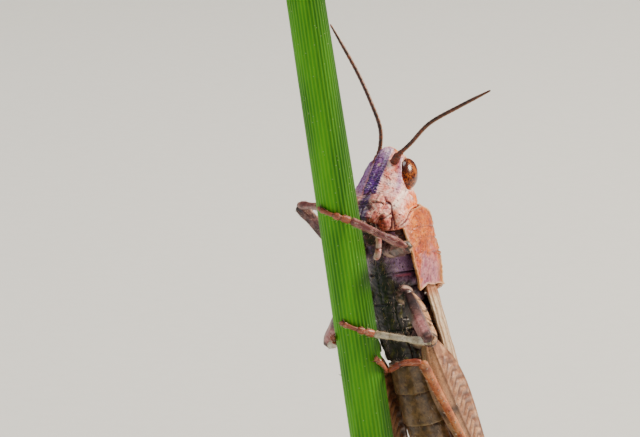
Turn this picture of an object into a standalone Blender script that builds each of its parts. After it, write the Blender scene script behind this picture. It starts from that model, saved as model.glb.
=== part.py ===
"""A field grasshopper that clings head-up to a cut length of green stem on a plain display stand.

Lengths are in millimetres and MM turns them to metres. The insect is worked out in its own frame: +X runs
towards its face, +Y to its left and +Z to its back, with the origin in the middle of the joint between head
and pronotum. One empty carries that frame in the stand's frame, whose origin is under the base's centre.
"""

import math

import bmesh
import bpy
import numpy as np
from mathutils import Matrix, Vector

MM = 0.001
GAP = 0.1  # clearance between neighbouring pieces
THIN = 0.5  # least thickness of wings, shins, feet and feelers

# How the insect sits in the stand's frame
NECK = Vector((-0.37, 1.45, 25.8))
FORWARD = Vector((-0.262, -0.103, 0.960)).normalized()
BACKWARD_FACE = Vector((0.425, 0.880, 0.210))  # roughly where its back faces

# The stem, its stand, and where the stem's axis passes at two heights
STEM_RADIUS = 0.94
STEM_LOW = Vector((0.86, -0.32, 4.0))
STEM_HIGH = Vector((-4.10, -3.40, 38.0))
BASE_RADIUS = 15.0
BASE_HEIGHT = 3.0
SOCKET_RADIUS = 1.7
SOCKET_TOP = 7.0
ROD_LEAN = 0.85  # the rod stands nearly under the stem's foot, towards the middle

# Trunk stations from front to back: x, top, level of the greatest width, bottom, half width
THORAX = (
    (-0.35, 0.90, -0.30, -1.30, 0.85),
    (-1.00, 1.02, -0.40, -1.75, 0.98),
    (-2.20, 0.92, -0.50, -2.10, 0.99),
    (-3.40, 0.60, -0.80, -2.35, 1.00),
    (-4.60, 0.50, -0.95, -2.40, 1.06),
    (-5.60, 0.46, -0.98, -2.30, 1.06),
    (-6.10, 0.48, -0.95, -2.20, 1.06),
)
ABDOMEN = (
    (-6.22, 0.46, -0.95, -2.18, 1.06),
    (-9.00, 0.40, -0.95, -2.18, 1.08),
    (-12.0, 0.24, -0.88, -1.95, 1.00),
    (-15.0, 0.02, -0.76, -1.60, 0.84),
    (-17.3, -0.10, -0.66, -1.30, 0.62),
    (-18.6, -0.24, -0.62, -1.05, 0.40),
)

# Pronotum: a saddle open below, with a flat disc, side lobes and an angled hind margin
PRONOTUM_FRONT = -0.22
PRONOTUM_REAR = -4.40
LOBE_REAR = -3.15
LOBE_BOTTOM = -1.02
SADDLE_LEVEL = -0.10
PRONOTUM_WALL = 0.34
# along, top, half width
PRONOTUM = ((0.00, 1.76, 1.52), (0.20, 1.92, 1.62), (0.50, 1.86, 1.62), (0.75, 1.70, 1.56), (1.00, 1.46, 1.42))

# Forewings, folded like a roof over the hind body: along, top, lower edge, half width
WING_TIP = -17.8
SEAM = 0.17  # half the slit between the two forewings
WING = (
    (0.00, 1.36, -0.42, 1.48),
    (0.30, 1.30, -0.40, 1.50),
    (0.65, 1.12, -0.30, 1.36),
    (0.90, 0.94, -0.16, 1.10),
    (1.00, 0.86, -0.08, 0.92),
)

# Head: flat facets round its centre, each a direction and a distance, blended by a power mean
HEAD_CENTRE = Vector((0.85, 0.0, -0.05))
HEAD_BLEND = 9.0
HEAD_FACETS = (
    ((0.0, 0.0, 1.0), 2.20),  # crown
    ((0.90, 0.0, 0.44), 2.10),  # front of the crown
    ((0.385, 0.73, 0.58), 2.00),  # shoulder of the crown
    ((0.0, 0.80, 0.60), 1.77),  # side of the crown
    ((-1.0, 0.0, 0.0), 0.95),  # occiput
    ((0.90, 0.0, -0.43), 0.74),  # face
    ((0.81, 0.50, -0.31), 0.90),  # side of the face
    ((0.75, 0.64, -0.10), 1.28),  # face in front of the eye
    ((0.45, 0.88, -0.12), 1.38),  # front of the cheek
    ((0.0, 1.0, 0.0), 1.46),  # cheek
    ((0.49, 0.0, -0.87), 1.08),  # under the mouth
    ((0.0, 0.55, -0.83), 1.95),  # lower rim of the cheek
)
COSTA_HALF_WIDTH = 0.34  # frontal ridge between the feelers
COSTA_RISE = 0.12
PEAK = Vector((1.39, 0.0, 1.98)).normalized()  # the crown's blunt point in front of the eyes
PEAK_RISE = 0.10

EYE_CENTRE = Vector((1.13, 0.98, 1.20))
EYE_AXES = (0.88, 0.58, 0.42)  # half lengths: up the face, fore and aft, outwards
EYE_UP = Vector((0.50, -0.30, 0.81))
EYE_OUT = Vector((0.18, 0.93, 0.25))

# Feelers, as points of each route and the radius at its root and tip
LEFT_FEELER = (
    (1.85, 0.42, 1.10), (2.24, 0.80, 1.00), (2.75, 1.60, 0.95), (3.55, 2.75, 0.95), (4.15, 4.35, 0.95),
    (4.76, 6.10, 0.80),
)
RIGHT_FEELER = (
    (1.85, -0.42, 1.10), (2.34, -0.42, 1.74), (3.20, -0.26, 1.98), (4.30, -0.50, 2.25), (5.76, -1.05, 2.70),
    (7.87, -1.85, 3.00),
)

# Legs: coxa, hip, knee and ankle are points in the insect's frame. Foot and toe are places on the stem, as a
# height above the floor and a turn round the stem in degrees, from the viewer's side towards the right.
LEGS = {
    "fore_left": dict(coxa=(-0.95, 0.78, -1.75), hip=(-0.85, 1.25, -2.30), knee=(0.18, 3.32, -4.75),
                      foot=(26.50, 30), toe=(26.95, -42)),
    "fore_right": dict(coxa=(-0.95, -0.78, -1.75), hip=(-0.80, -1.25, -2.10), knee=(1.36, -3.18, -1.55),
                       foot=(26.70, 206), toe=(27.10, 130)),
    "mid_left": dict(coxa=(-3.00, 0.95, -2.05), hip=(-2.90, 1.45, -2.45), knee=(-4.02, 3.48, -5.25),
                     foot=(21.45, 48), toe=(21.95, -26)),
    "mid_right": dict(coxa=(-3.00, -0.95, -2.05), hip=(-2.95, -1.45, -2.35), knee=(-5.20, -3.60, -1.60),
                      foot=(20.60, 215), toe=(21.20, 290)),
    "hind_left": dict(coxa=(-5.05, 1.00, -1.80), hip=(-5.20, 1.60, -2.20), knee=(-15.4, 2.12, -0.40),
                      ankle=(-5.50, 1.90, -3.70), foot=(19.60, 86), toe=(20.30, 45)),
    "hind_right": dict(coxa=(-5.05, -1.00, -1.80), hip=(-5.20, -1.60, -2.20), knee=(-15.4, -2.12, -0.40),
                       ankle=(-5.50, -1.90, -3.70), foot=(18.90, 205), toe=(17.90, 230)),
}
COXA_RADII = {"fore": (0.42, 0.40, 0.30), "mid": (0.46, 0.44, 0.32), "hind": (0.55, 0.52, 0.36)}
THIGH_RADII = (0.28, 0.38, 0.36, 0.28, 0.27)
SHIN_RADII = (0.27, 0.255, 0.25, 0.26)
FOOT_RADII = (0.26, 0.25, 0.25, 0.25)
FOOT_STANDOFF = STEM_RADIUS + FOOT_RADII[0] + 0.08
# Jumping thigh from hip to knee: half height and half thickness
JUMP_HEIGHTS = (0.34, 0.92, 1.12, 1.05, 0.84, 0.60, 0.43, 0.40, 0.50, 0.42)
JUMP_WIDTHS = (0.30, 0.54, 0.60, 0.54, 0.44, 0.34, 0.28, 0.27, 0.31, 0.27)
KNEE_REACH = 0.45  # the jumping thigh runs on past the knee's pivot

# Mouthparts as ellipsoids: centre, half lengths fore and aft, across and up, and how far they lean back
LIP = (Vector((0.80, 0.0, -1.55)), (0.36, 0.80, 0.82), 25.0)
JAW = (Vector((0.38, 0.93, -1.57)), (0.50, 0.36, 0.66), 14.0)
CHIN = (Vector((0.00, 0.0, -1.98)), (0.58, 0.70, 0.46), 0.0)
PALP = ((0.10, 0.62, -2.25), (-0.05, 0.92, -2.72), (-0.62, 0.80, -2.86), (-1.00, 0.52, -2.74))

TAIL_HOOK = ((-18.95, 0.0, 0.0), (-19.4, 0.0, 0.05), (-20.0, 0.0, 0.30))

# Finishes: base colour, roughness, metallic
FINISHES = {
    "face_shell": ((0.62, 0.42, 0.38, 1), 0.45, 0.0),
    "eye": ((0.20, 0.11, 0.07, 1), 0.18, 0.0),
    "back_shell": ((0.46, 0.27, 0.15, 1), 0.55, 0.0),
    "trunk_shell": ((0.30, 0.21, 0.22, 1), 0.50, 0.0),
    "wing": ((0.50, 0.36, 0.22, 1), 0.50, 0.0),
    "feeler": ((0.22, 0.08, 0.05, 1), 0.45, 0.0),
    "leg_shell": ((0.48, 0.27, 0.22, 1), 0.45, 0.0),
    "stem": ((0.16, 0.38, 0.04, 1), 0.45, 0.0),
    "stand": ((0.035, 0.035, 0.04, 1), 0.40, 0.0),
}


def clear_scene():
    for thing in list(bpy.data.objects):
        bpy.data.objects.remove(thing, do_unlink=True)


def make_collection(name):
    group = bpy.data.collections.new(name)
    bpy.context.scene.collection.children.link(group)
    return group


def make_material(name):
    colour, roughness, metallic = FINISHES[name]
    material = bpy.data.materials.new(name)
    material.use_nodes = True
    shader = material.node_tree.nodes["Principled BSDF"]
    shader.inputs["Base Color"].default_value = colour
    shader.inputs["Roughness"].default_value = roughness
    shader.inputs["Metallic"].default_value = metallic
    return material


clear_scene()
PIECES = make_collection("grasshopper")
CUTTERS = make_collection("cutters")
CUTTERS.hide_render = True
MATERIALS = {name: make_material(name) for name in FINISHES}


def insect_frame():
    """The matrix that carries the insect's frame into the stand's frame, in millimetres."""
    left = BACKWARD_FACE.cross(FORWARD).normalized()
    back = FORWARD.cross(left)
    turn = Matrix((FORWARD, left, back)).transposed()
    return Matrix.Translation(NECK) @ turn.to_4x4()


INSECT = insect_frame()
BODY = bpy.data.objects.new("insect_frame", None)
BODY.matrix_world = Matrix.Translation(NECK * MM) @ INSECT.to_3x3().to_4x4()
PIECES.objects.link(BODY)


def add_object(name, mesh, finish, on_insect=True, cutter=False):
    """An object for the mesh, smooth, with its finish and carried by the insect's empty."""
    thing = bpy.data.objects.new(name, mesh)
    (CUTTERS if cutter else PIECES).objects.link(thing)
    if on_insect:
        thing.parent = BODY
    if cutter:
        thing.hide_render = True
        thing.display_type = "WIRE"
    else:
        mesh.materials.clear()
        mesh.materials.append(MATERIALS[finish])
    mesh.shade_smooth()
    mesh.set_sharp_from_angle(angle=math.radians(50))
    return thing


def mesh_from_bmesh(name, shape):
    bmesh.ops.recalc_face_normals(shape, faces=shape.faces)
    mesh = bpy.data.meshes.new(name)
    shape.to_mesh(mesh)
    shape.free()
    return mesh


def loft(name, rings):
    """A closed skin over rings of points in millimetres, with a fan of faces over each end ring."""
    shape = bmesh.new()
    rows = [[shape.verts.new(Vector(p) * MM) for p in ring] for ring in rings]
    for low, high in zip(rows, rows[1:]):
        for i in range(len(low)):
            j = (i + 1) % len(low)
            shape.faces.new((low[i], low[j], high[j], high[i]))
    for row in (rows[0], rows[-1]):
        middle = shape.verts.new(sum((v.co for v in row), Vector()) / len(row))
        for i in range(len(row)):
            shape.faces.new((row[i], row[(i + 1) % len(row)], middle))
    return mesh_from_bmesh(name, shape)


def sheet(name, grid, flip):
    """An open surface over a grid of points in millimetres, its faces turned over where flip is set."""
    mesh = bpy.data.meshes.new(name)
    shape = bmesh.new()
    rows = [[shape.verts.new(Vector(p) * MM) for p in row] for row in grid]
    for low, high in zip(rows, rows[1:]):
        for i in range(len(low) - 1):
            corners = (low[i], low[i + 1], high[i + 1], high[i])
            shape.faces.new(corners[::-1] if flip else corners)
    shape.to_mesh(mesh)
    shape.free()
    return mesh


def bow(value, power):
    """value raised to 2 / power with its sign kept: the term of a superellipse."""
    return math.copysign(abs(value) ** (2 / power), value)


def trunk_ring(station, grow, count=18):
    """A superellipse across the trunk, fuller below its greatest width than above it."""
    x, top, level, bottom, width = station
    ring = []
    for i in range(count):
        turn = 2 * math.pi * i / count
        above = math.sin(turn) > 0
        height = (top - level if above else level - bottom) + grow
        power = 1.9 if above else 2.4
        across = (width + grow) * bow(math.cos(turn), power)
        ring.append((x, across, level + height * bow(math.sin(turn), power)))
    return ring


def trunk(name, stations, grow=0.0):
    """Rings through the stations, run out by grow and rounded at both ends."""
    stations = [list(s) for s in stations]
    stations[0][0] += grow
    stations[-1][0] -= grow
    return loft(name, [trunk_ring(s, grow) for s in stations])


def blend_stations(stations, along):
    """The stations' values at a place along them, in a straight line from one to the next."""
    places = [s[0] for s in stations]
    return [float(np.interp(along, places, [s[k] for s in stations])) for k in range(1, len(stations[0]))]


def saddle_point(along, across):
    """A point of the pronotum: across runs from -1, the left lobe's lower edge, over the disc to 1."""
    top, width = blend_stations(PRONOTUM, along)
    side = abs(across)
    front = PRONOTUM_FRONT - 0.30 * side**3
    rear = PRONOTUM_REAR + (LOBE_REAR - PRONOTUM_REAR) * min(1.0, 1.25 * side) ** 1.2
    x = front + along * (rear - front)
    if side < 0.66:
        turn = side / 0.66 * math.pi / 2
        y = width * bow(math.sin(turn), 2.7)
        z = SADDLE_LEVEL + (top - SADDLE_LEVEL) * bow(math.cos(turn), 2.7)
    else:
        drop = (side - 0.66) / 0.34
        y = width - 0.04 * drop
        z = SADDLE_LEVEL + (LOBE_BOTTOM - SADDLE_LEVEL) * drop
    return (x, math.copysign(y, -across), z)


def wing_point(along, down, side):
    """A point of a forewing: down runs from the seam over the back, 0, to the lower edge, 1."""
    top, low, width = blend_stations(WING, along)
    root = PRONOTUM_REAR - GAP + (LOBE_REAR - PRONOTUM_REAR) * min(1.0, 1.1 * down) ** 1.2
    tip = WING_TIP + 2.4 * down**2
    turn = down * math.pi / 2
    y = SEAM + (width - SEAM) * bow(math.sin(turn), 1.8)
    z = low + (top - low) * bow(math.cos(turn), 1.8)
    return (root + along * (tip - root), side * y, z)


def add_shell(name, grid, flip, thickness, finish):
    """A sheet with its thickness taken inwards."""
    thing = add_object(name, sheet(name, grid, flip), finish)
    wall = thing.modifiers.new("wall", "SOLIDIFY")
    wall.thickness = thickness * MM
    wall.offset = -1
    return thing


def pronotum():
    lines = np.linspace(0, 1, 9)
    grid = [[saddle_point(along, across) for across in np.linspace(-1, 1, 23)] for along in lines]
    add_shell("pronotum", grid, True, PRONOTUM_WALL, "back_shell")


def forewing(name, side):
    lines = np.linspace(0, 1, 12)
    grid = [[wing_point(along, down, side) for down in np.linspace(0, 1, 10)] for along in lines]
    add_shell(name, grid, side < 0, THIN, "wing")


def head_reach(way):
    """How far the head's surface lies from its centre in a unit direction: the facets' power mean."""
    total = 0.0
    for (x, y, z), distance in HEAD_FACETS:
        facet = Vector((x, y, z)).normalized()
        for side in ((1, -1) if y else (1,)):
            lean = way.x * facet.x + way.y * side * facet.y + way.z * facet.z
            total += max(0.0, lean / distance) ** HEAD_BLEND
    return total ** (-1 / HEAD_BLEND)


def head_point(way, grow):
    """A point of the head, with the frontal ridge raised between the feelers."""
    reach = head_reach(way) + grow
    point = HEAD_CENTRE + way * (reach + PEAK_RISE * max(0.0, way.dot(PEAK)) ** 20)
    on_face = min(1.0, max(0.0, (way.x - 0.25) / 0.3))
    point.x += COSTA_RISE * on_face * math.exp(-((point.y / COSTA_HALF_WIDTH) ** 4))
    return point


def ball(name, centre, segments, turn, axes):
    """A sphere primitive, stretched along the three columns of a rotation and moved to its centre."""
    shape = bmesh.new()
    bmesh.ops.create_uvsphere(shape, u_segments=segments[0], v_segments=segments[1], radius=1.0)
    for corner in shape.verts:
        local = Vector((corner.co.x * axes[0], corner.co.y * axes[1], corner.co.z * axes[2]))
        corner.co = (centre + turn @ local) * MM
    return mesh_from_bmesh(name, shape)


def head_mesh(name, grow):
    """A sphere primitive pushed out, or in, to the head's surface."""
    shape = bmesh.new()
    bmesh.ops.create_uvsphere(shape, u_segments=30, v_segments=17, radius=1.0)
    for corner in shape.verts:
        corner.co = head_point(corner.co.normalized(), grow) * MM
    return mesh_from_bmesh(name, shape)


def head():
    thing = add_object("head", head_mesh("head", 0.0), "face_shell")
    for side in (1, -1):
        cut(thing, eye_ball("eye_socket", side, GAP / 2))


def eye_turn(side):
    """The rotation whose columns are the eye's up, fore and outward axes."""
    up = Vector((EYE_UP.x, side * EYE_UP.y, EYE_UP.z)).normalized()
    out = Vector((EYE_OUT.x, side * EYE_OUT.y, EYE_OUT.z))
    out = (out - up * out.dot(up)).normalized()
    return Matrix((up, out.cross(up), out)).transposed()


def eye_ball(name, side, grow):
    centre = Vector((EYE_CENTRE.x, side * EYE_CENTRE.y, EYE_CENTRE.z))
    axes = [half + grow for half in EYE_AXES]
    mesh = ball(name, centre, (14, 10), eye_turn(side), axes)
    return add_object(name, mesh, "eye", cutter=grow > 0)


def cut(thing, cutter):
    """Takes the cutter out of the thing with an exact Boolean."""
    taken = thing.modifiers.new("gap", "BOOLEAN")
    taken.operation = "DIFFERENCE"
    taken.object = cutter


def smooth_route(points, steps):
    """Points along a Catmull-Rom curve through the given points, steps to a stretch."""
    points = [Vector(p) for p in points]
    padded = [points[0] * 2 - points[1]] + points + [points[-1] * 2 - points[-2]]
    route = []
    for a, b, c, d in zip(padded, padded[1:], padded[2:], padded[3:]):
        for i in range(steps):
            t = i / steps
            bend = (a * 2 - b * 5 + c * 4 - d) * t * t + (b * 3 - a - c * 3 + d) * t**3
            route.append((b * 2 + (c - a) * t + bend) / 2)
    return route + [points[-1]]


def tube(name, points, radii, finish, grow=0.0, sides=1, on_insect=True):
    """A round piece along the points, with a radius for each. With grow it is a cutter, larger all round."""
    curve = bpy.data.curves.new(name, "CURVE")
    curve.dimensions = "3D"
    curve.bevel_depth = MM
    curve.bevel_resolution = sides
    curve.use_fill_caps = True
    points = [Vector(p) for p in points]
    if grow:
        points[0] = points[0] + (points[0] - points[1]).normalized() * grow
        points[-1] = points[-1] + (points[-1] - points[-2]).normalized() * grow
    line = curve.splines.new("POLY")
    line.points.add(len(points) - 1)
    for slot, point, radius in zip(line.points, points, radii):
        slot.co = (*(point * MM), 1)
        slot.radius = radius + grow
    guide = bpy.data.objects.new(name, curve)
    CUTTERS.objects.link(guide)
    bpy.context.view_layer.update()
    graph = bpy.context.evaluated_depsgraph_get()
    mesh = bpy.data.meshes.new_from_object(guide.evaluated_get(graph))
    bpy.data.objects.remove(guide)
    shape = bmesh.new()
    shape.from_mesh(mesh)
    bmesh.ops.remove_doubles(shape, verts=shape.verts, dist=1e-6)
    bpy.data.meshes.remove(mesh)
    return add_object(name, mesh_from_bmesh(name, shape), finish, on_insect, grow > 0)


def spread(radii, points):
    """A radius for each point, blended along the route's length."""
    points = [Vector(p) for p in points]
    lengths = np.cumsum([0] + [(b - a).length for a, b in zip(points, points[1:])])
    return [float(r) for r in np.interp(lengths / lengths[-1], np.linspace(0, 1, len(radii)), radii)]


def domed(points, radii):
    """The route and its radii with a point added by each end, so that the ends close like domes."""
    points = [Vector(p) for p in points]
    first = (points[0] - points[1]).normalized()
    last = (points[-1] - points[-2]).normalized()
    start = [points[0] + first * radii[0] * 0.80, points[0] + first * radii[0] * 0.55]
    end = [points[-1] + last * radii[-1] * 0.55, points[-1] + last * radii[-1] * 0.80]
    radii = [radii[0] * 0.45, radii[0] * 0.85] + radii + [radii[-1] * 0.85, radii[-1] * 0.45]
    return start + points + end, radii


def limb(name, start, end, radii, grow=0.0):
    """A straight length of leg with domed ends."""
    points = [Vector(start).lerp(Vector(end), t) for t in np.linspace(0, 1, 5)]
    points, radii = domed(points, spread(radii, points))
    return tube(name, points, radii, "leg_shell", grow)


def stem_axis(height):
    """The stem's middle at a height above the floor."""
    return STEM_LOW.lerp(STEM_HIGH, (height - STEM_LOW.z) / (STEM_HIGH.z - STEM_LOW.z))


def stem_place(height, turn):
    """A point in the insect's frame, a foot's standoff from the stem's axis, turned from the viewer's side."""
    turn = math.radians(turn)
    point = stem_axis(height) + Vector((math.sin(turn), -math.cos(turn), 0)) * FOOT_STANDOFF
    return INSECT.inverted() @ point


def foot_route(leg):
    """From the ankle on to the stem, then round it to the toes."""
    (low, start), (high, stop) = leg["foot"], leg["toe"]
    route = [stem_place(low + t * (high - low), start + t * (stop - start)) for t in np.linspace(0, 1, 6)]
    return ([Vector(leg["ankle"])] if "ankle" in leg else []) + route


def thigh_rings(start, end, heights, widths, grow):
    """Ellipses along a jumping thigh, taller than wide, standing in the plane of the leg."""
    start, end = Vector(start), Vector(end)
    axis = (end - start).normalized()
    out = Vector((0, 1, 0))
    out = (out - axis * out.dot(axis)).normalized()
    up = axis.cross(out)
    rings = []
    length = (end - start).length
    places = np.linspace(-grow, length + KNEE_REACH + grow, len(heights))
    for along, height, width in zip(places, heights, widths):
        tall, wide = up * (height + grow), out * (width + grow)
        turns = np.linspace(0, 2 * math.pi, 13)[:-1]
        rings.append([start + axis * along + tall * math.sin(a) + wide * math.cos(a) for a in turns])
    return rings


def thigh(name, leg, pair, grow=0.0):
    if pair != "hind":
        return limb(name, leg["hip"], leg["knee"], THIGH_RADII, grow)
    mesh = loft(name, thigh_rings(leg["hip"], leg["knee"], JUMP_HEIGHTS, JUMP_WIDTHS, grow))
    return add_object(name, mesh, "leg_shell", cutter=grow > 0)


def build_leg(place, thorax_space):
    """One leg, each length parted from the one before it by a thin cut."""
    leg = LEGS[place]
    pair = place.split("_")[0]
    route = foot_route(leg)
    ankle = route[0]
    coxa = limb(f"coxa_{place}", leg["coxa"], leg["hip"], COXA_RADII[pair])
    cut(coxa, thorax_space)
    femur = thigh(f"femur_{place}", leg, pair)
    cut(femur, limb(f"coxa_{place}_space", leg["coxa"], leg["hip"], COXA_RADII[pair], GAP))
    shin = limb(f"tibia_{place}", leg["knee"], ankle, SHIN_RADII)
    cut(shin, thigh(f"femur_{place}_space", leg, pair, GAP))
    points, radii = domed(route, spread(FOOT_RADII, route))
    foot = tube(f"tarsus_{place}", points, radii, "leg_shell")
    cut(foot, limb(f"tibia_{place}_space", leg["knee"], ankle, SHIN_RADII, GAP))


def mouthpart(name, form, side, finish, grow=0.0):
    centre, axes, lean = form
    lean = Matrix.Rotation(math.radians(lean), 3, "Y")
    mesh = ball(name, Vector((centre.x, side * centre.y, centre.z)), (12, 8), lean, [a + grow for a in axes])
    return add_object(name, mesh, finish, cutter=grow > 0)


def mouth(head_space):
    """Upper lip, jaws and chin under the head, and a palp each side."""
    lip = mouthpart("labrum", LIP, 1, "face_shell")
    lip_space = mouthpart("labrum_space", LIP, 1, "face_shell", GAP)
    chin = mouthpart("chin", CHIN, 1, "trunk_shell")
    chin_space = mouthpart("chin_space", CHIN, 1, "trunk_shell", GAP)
    for side, word in ((1, "left"), (-1, "right")):
        jaw = mouthpart(f"mandible_{word}", JAW, side, "face_shell")
        for space in (chin_space, lip_space, head_space):
            cut(jaw, space)
        route = [(x, side * y, z) for x, y, z in smooth_route(PALP, 3)]
        points, radii = domed(route, spread((0.26, 0.25), route))
        cut(tube(f"palp_{word}", points, radii, "leg_shell"), chin_space)
    for piece, space in ((lip, head_space), (chin, head_space), (chin, lip_space)):
        cut(piece, space)


def feeler(name, route, head_space):
    points = smooth_route(route, 2)
    points, radii = domed(points, spread((0.27, 0.25, 0.25), points))
    cut(tube(name, points, radii, "feeler", sides=1), head_space)


def tail(name, side):
    """One of the two hooked blades at the tail, curving away from the other."""
    route = [Vector((x, 0, -0.62 + side * (0.34 + z))) for x, y, z in smooth_route(TAIL_HOOK, 3)]
    points, radii = domed(route, spread((0.28, 0.26, 0.12), route))
    tube(name, points, radii, "trunk_shell")


def stem():
    points = [stem_axis(h) for h in np.linspace(STEM_LOW.z, STEM_HIGH.z, 9)]
    radii = [STEM_RADIUS - 0.16 * t**2 for t in np.linspace(0, 1, 9)]
    return tube("perch", points, radii, "stem", sides=4, on_insect=False)


def turned(name, radius, height, bottom, finish, bevel, segments):
    """A round piece of the stand, with its rims rounded."""
    shape = bmesh.new()
    size = dict(radius1=radius * MM, radius2=radius * MM, depth=height * MM)
    bmesh.ops.create_cone(shape, cap_ends=True, segments=segments, **size)
    bmesh.ops.translate(shape, verts=shape.verts, vec=(0, 0, (bottom + height / 2) * MM))
    thing = add_object(name, mesh_from_bmesh(name, shape), finish, on_insect=False)
    rim = thing.modifiers.new("rim", "BEVEL")
    rim.width = bevel * MM
    rim.segments = 1
    rim.angle_limit = math.radians(60)
    return thing


def stand():
    """A round base, and a short rod whose socket holds the stem's foot."""
    turned("stand_base", BASE_RADIUS, BASE_HEIGHT, 0, "stand", 0.5, 48)
    rod = turned("stand_rod", SOCKET_RADIUS, SOCKET_TOP - BASE_HEIGHT - GAP, BASE_HEIGHT + GAP, "stand", 0.2, 20)
    for corner in rod.data.vertices:
        corner.co += Vector((STEM_LOW.x, STEM_LOW.y, 0)) * MM * ROD_LEAN
    points = [stem_axis(h) for h in (STEM_LOW.z, SOCKET_TOP + 3)]
    cut(rod, tube("socket_space", points, [STEM_RADIUS] * 2, "stem", GAP, 4, False))


def eyes():
    for side, word in ((1, "left"), (-1, "right")):
        eye_ball(f"eye_{word}", side, 0.0)


def build():
    thorax_room = trunk("thorax_space", THORAX, GAP)
    thorax_space = add_object("thorax_space", thorax_room, "trunk_shell", cutter=True)
    head_space = add_object("head_space", head_mesh("head_space", GAP), "face_shell", cutter=True)
    head()
    eyes()
    mouth(head_space)
    feeler("antenna_left", LEFT_FEELER, head_space)
    feeler("antenna_right", RIGHT_FEELER, head_space)
    pronotum()
    add_object("thorax", trunk("thorax", THORAX), "trunk_shell")
    add_object("abdomen", trunk("abdomen", ABDOMEN), "trunk_shell")
    forewing("wing_left", 1)
    forewing("wing_right", -1)
    tail("ovipositor_upper", 1)
    tail("ovipositor_lower", -1)
    for place in LEGS:
        build_leg(place, thorax_space)
    stem()
    stand()


build()
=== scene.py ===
# A field grasshopper on a cut stem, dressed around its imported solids.
# Shapes are worked out in millimetres in the insect's own frame: x to its face, y to its left, z to its back.
from functools import partial

import bmesh
import bpy
import numpy as np
from mathutils import Matrix


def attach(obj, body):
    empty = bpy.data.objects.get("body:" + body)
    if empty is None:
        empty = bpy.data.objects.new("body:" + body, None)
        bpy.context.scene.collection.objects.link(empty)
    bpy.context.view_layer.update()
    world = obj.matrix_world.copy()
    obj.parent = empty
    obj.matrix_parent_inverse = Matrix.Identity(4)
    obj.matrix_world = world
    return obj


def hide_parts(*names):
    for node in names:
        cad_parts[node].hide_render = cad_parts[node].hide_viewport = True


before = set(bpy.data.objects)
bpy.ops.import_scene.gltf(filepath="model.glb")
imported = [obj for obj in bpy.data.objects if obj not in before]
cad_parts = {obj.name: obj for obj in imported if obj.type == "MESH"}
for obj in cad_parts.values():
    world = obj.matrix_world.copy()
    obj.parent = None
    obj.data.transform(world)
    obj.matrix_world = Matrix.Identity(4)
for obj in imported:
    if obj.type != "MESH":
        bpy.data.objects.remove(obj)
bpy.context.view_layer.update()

pose = {"neck": (-0.37, 1.45, 25.8), "forward": (-0.262, -0.103, 0.960), "backFaces": (0.425, 0.880, 0.210)}
stemForm = {
    "low": (0.86, -0.32, 4), "high": (-4.1, -3.4, 38), "radius": 0.94, "taper": 0.16,
    "ribs": 34, "rows": 300, "columns": 272, "cap": 7,
}
sides = {"left": 1, "right": -1}


def unit(v):
    return v / np.maximum(np.linalg.norm(v, axis=-1, keepdims=True), 1e-12)


forward = unit(np.array(pose["forward"]))
left = unit(np.cross(pose["backFaces"], forward))
insectAxes = np.array((forward, left, np.cross(forward, left)))


def toStand(points):  # insect's frame to the stand's: neck + x forward + y left + z back
    return np.array(pose["neck"]) + points @ insectAxes


def toInsect(points):
    return (points - np.array(pose["neck"])) @ insectAxes.T


def held(value):  # kept between 0 and 1
    return np.clip(value, 0, 1)


def bow(value, power):  # sign(v) |v|^(2 / power), the term of a superellipse
    return np.sign(value) * np.abs(value) ** (2 / power)


def bump(value, width):  # exp(-(v / width)^2)
    return np.exp(-((value / width) ** 2))


def step(value, low, high):  # 0 below low, 1 above high, 3t^2 - 2t^3 between
    t = held((value - low) / (high - low))
    return t * t * (3 - 2 * t)


def fade(value, low, high):  # 1 below low, 0 above high
    return 1 - step(value, low, high)


def around(count):  # the angles of one turn
    return np.linspace(0, 2 * np.pi, count + 1)[:-1]


def quarter(count):  # the angles of a quarter turn
    return np.linspace(0, np.pi / 2, count)


def through(rows, count):
    # Catmull-Rom through the rows of a table, as one array of count rows
    rows = np.asarray(rows, float)
    padded = np.vstack((2 * rows[0] - rows[1], rows, 2 * rows[-1] - rows[-2]))
    place = np.linspace(0, len(rows) - 1, count)
    i = np.minimum(place.astype(int), len(rows) - 2)
    t = (place - i)[:, None]
    a, b, c, d = (padded[i + k] for k in range(4))
    return (2 * b + (c - a) * t + (2 * a - 5 * b + 4 * c - d) * t**2 + (3 * b - a - 3 * c + d) * t**3) / 2


def tableAt(rows, where):
    # each column of the table against its first column, smoothed through, read at where as an upright array
    fine = through(rows, 400)
    return [np.interp(where, fine[:, 0], fine[:, k])[:, None] for k in range(1, fine.shape[1])]


def nearLine(points, line):
    # least distance from each point to the segments of a line
    best = np.full(points.shape[:-1], 1e9)
    for a, b in zip(line, line[1:]):
        t = held((points - a) @ (b - a) / ((b - a) @ (b - a)))
        best = np.minimum(best, np.linalg.norm(points - a - t[..., None] * (b - a), axis=-1))
    return best


def lumps(points, size, seed, count=14):
    # smooth uneven values about -1 to 1: the mean of sines along count seeded directions
    rng = np.random.default_rng(seed)
    ways = unit(rng.normal(size=(count, 3))) * 2 * np.pi / size * rng.uniform(0.6, 1.5, (count, 1))
    return np.sin(points @ ways.T + rng.uniform(0, 6.28, count)).sum(-1) / np.sqrt(count)


def gridShape(points, wrap=True, **masks):
    # a grid of points (rows, columns, 3) whose cells are four-sided faces; wrap joins last column to first
    rows, columns = points.shape[:2]
    r = np.arange(rows - 1)[:, None]
    c = np.arange(columns if wrap else columns - 1)[None, :]
    c2 = (c + 1) % columns
    corners = (r * columns + c, (r + 1) * columns + c, (r + 1) * columns + c2, r * columns + c2)
    flat = {name: np.broadcast_to(value, (rows, columns)).ravel() for name, value in masks.items()}
    over, down = np.meshgrid(np.arange(columns) / columns, np.arange(rows) / rows)
    return {
        "points": points.reshape(-1, 3), "faces": np.stack(corners, -1).reshape(-1, 4), "masks": flat,
        "unwrap": np.stack((over, down, 0 * over), -1).reshape(-1, 3),
    }


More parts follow.
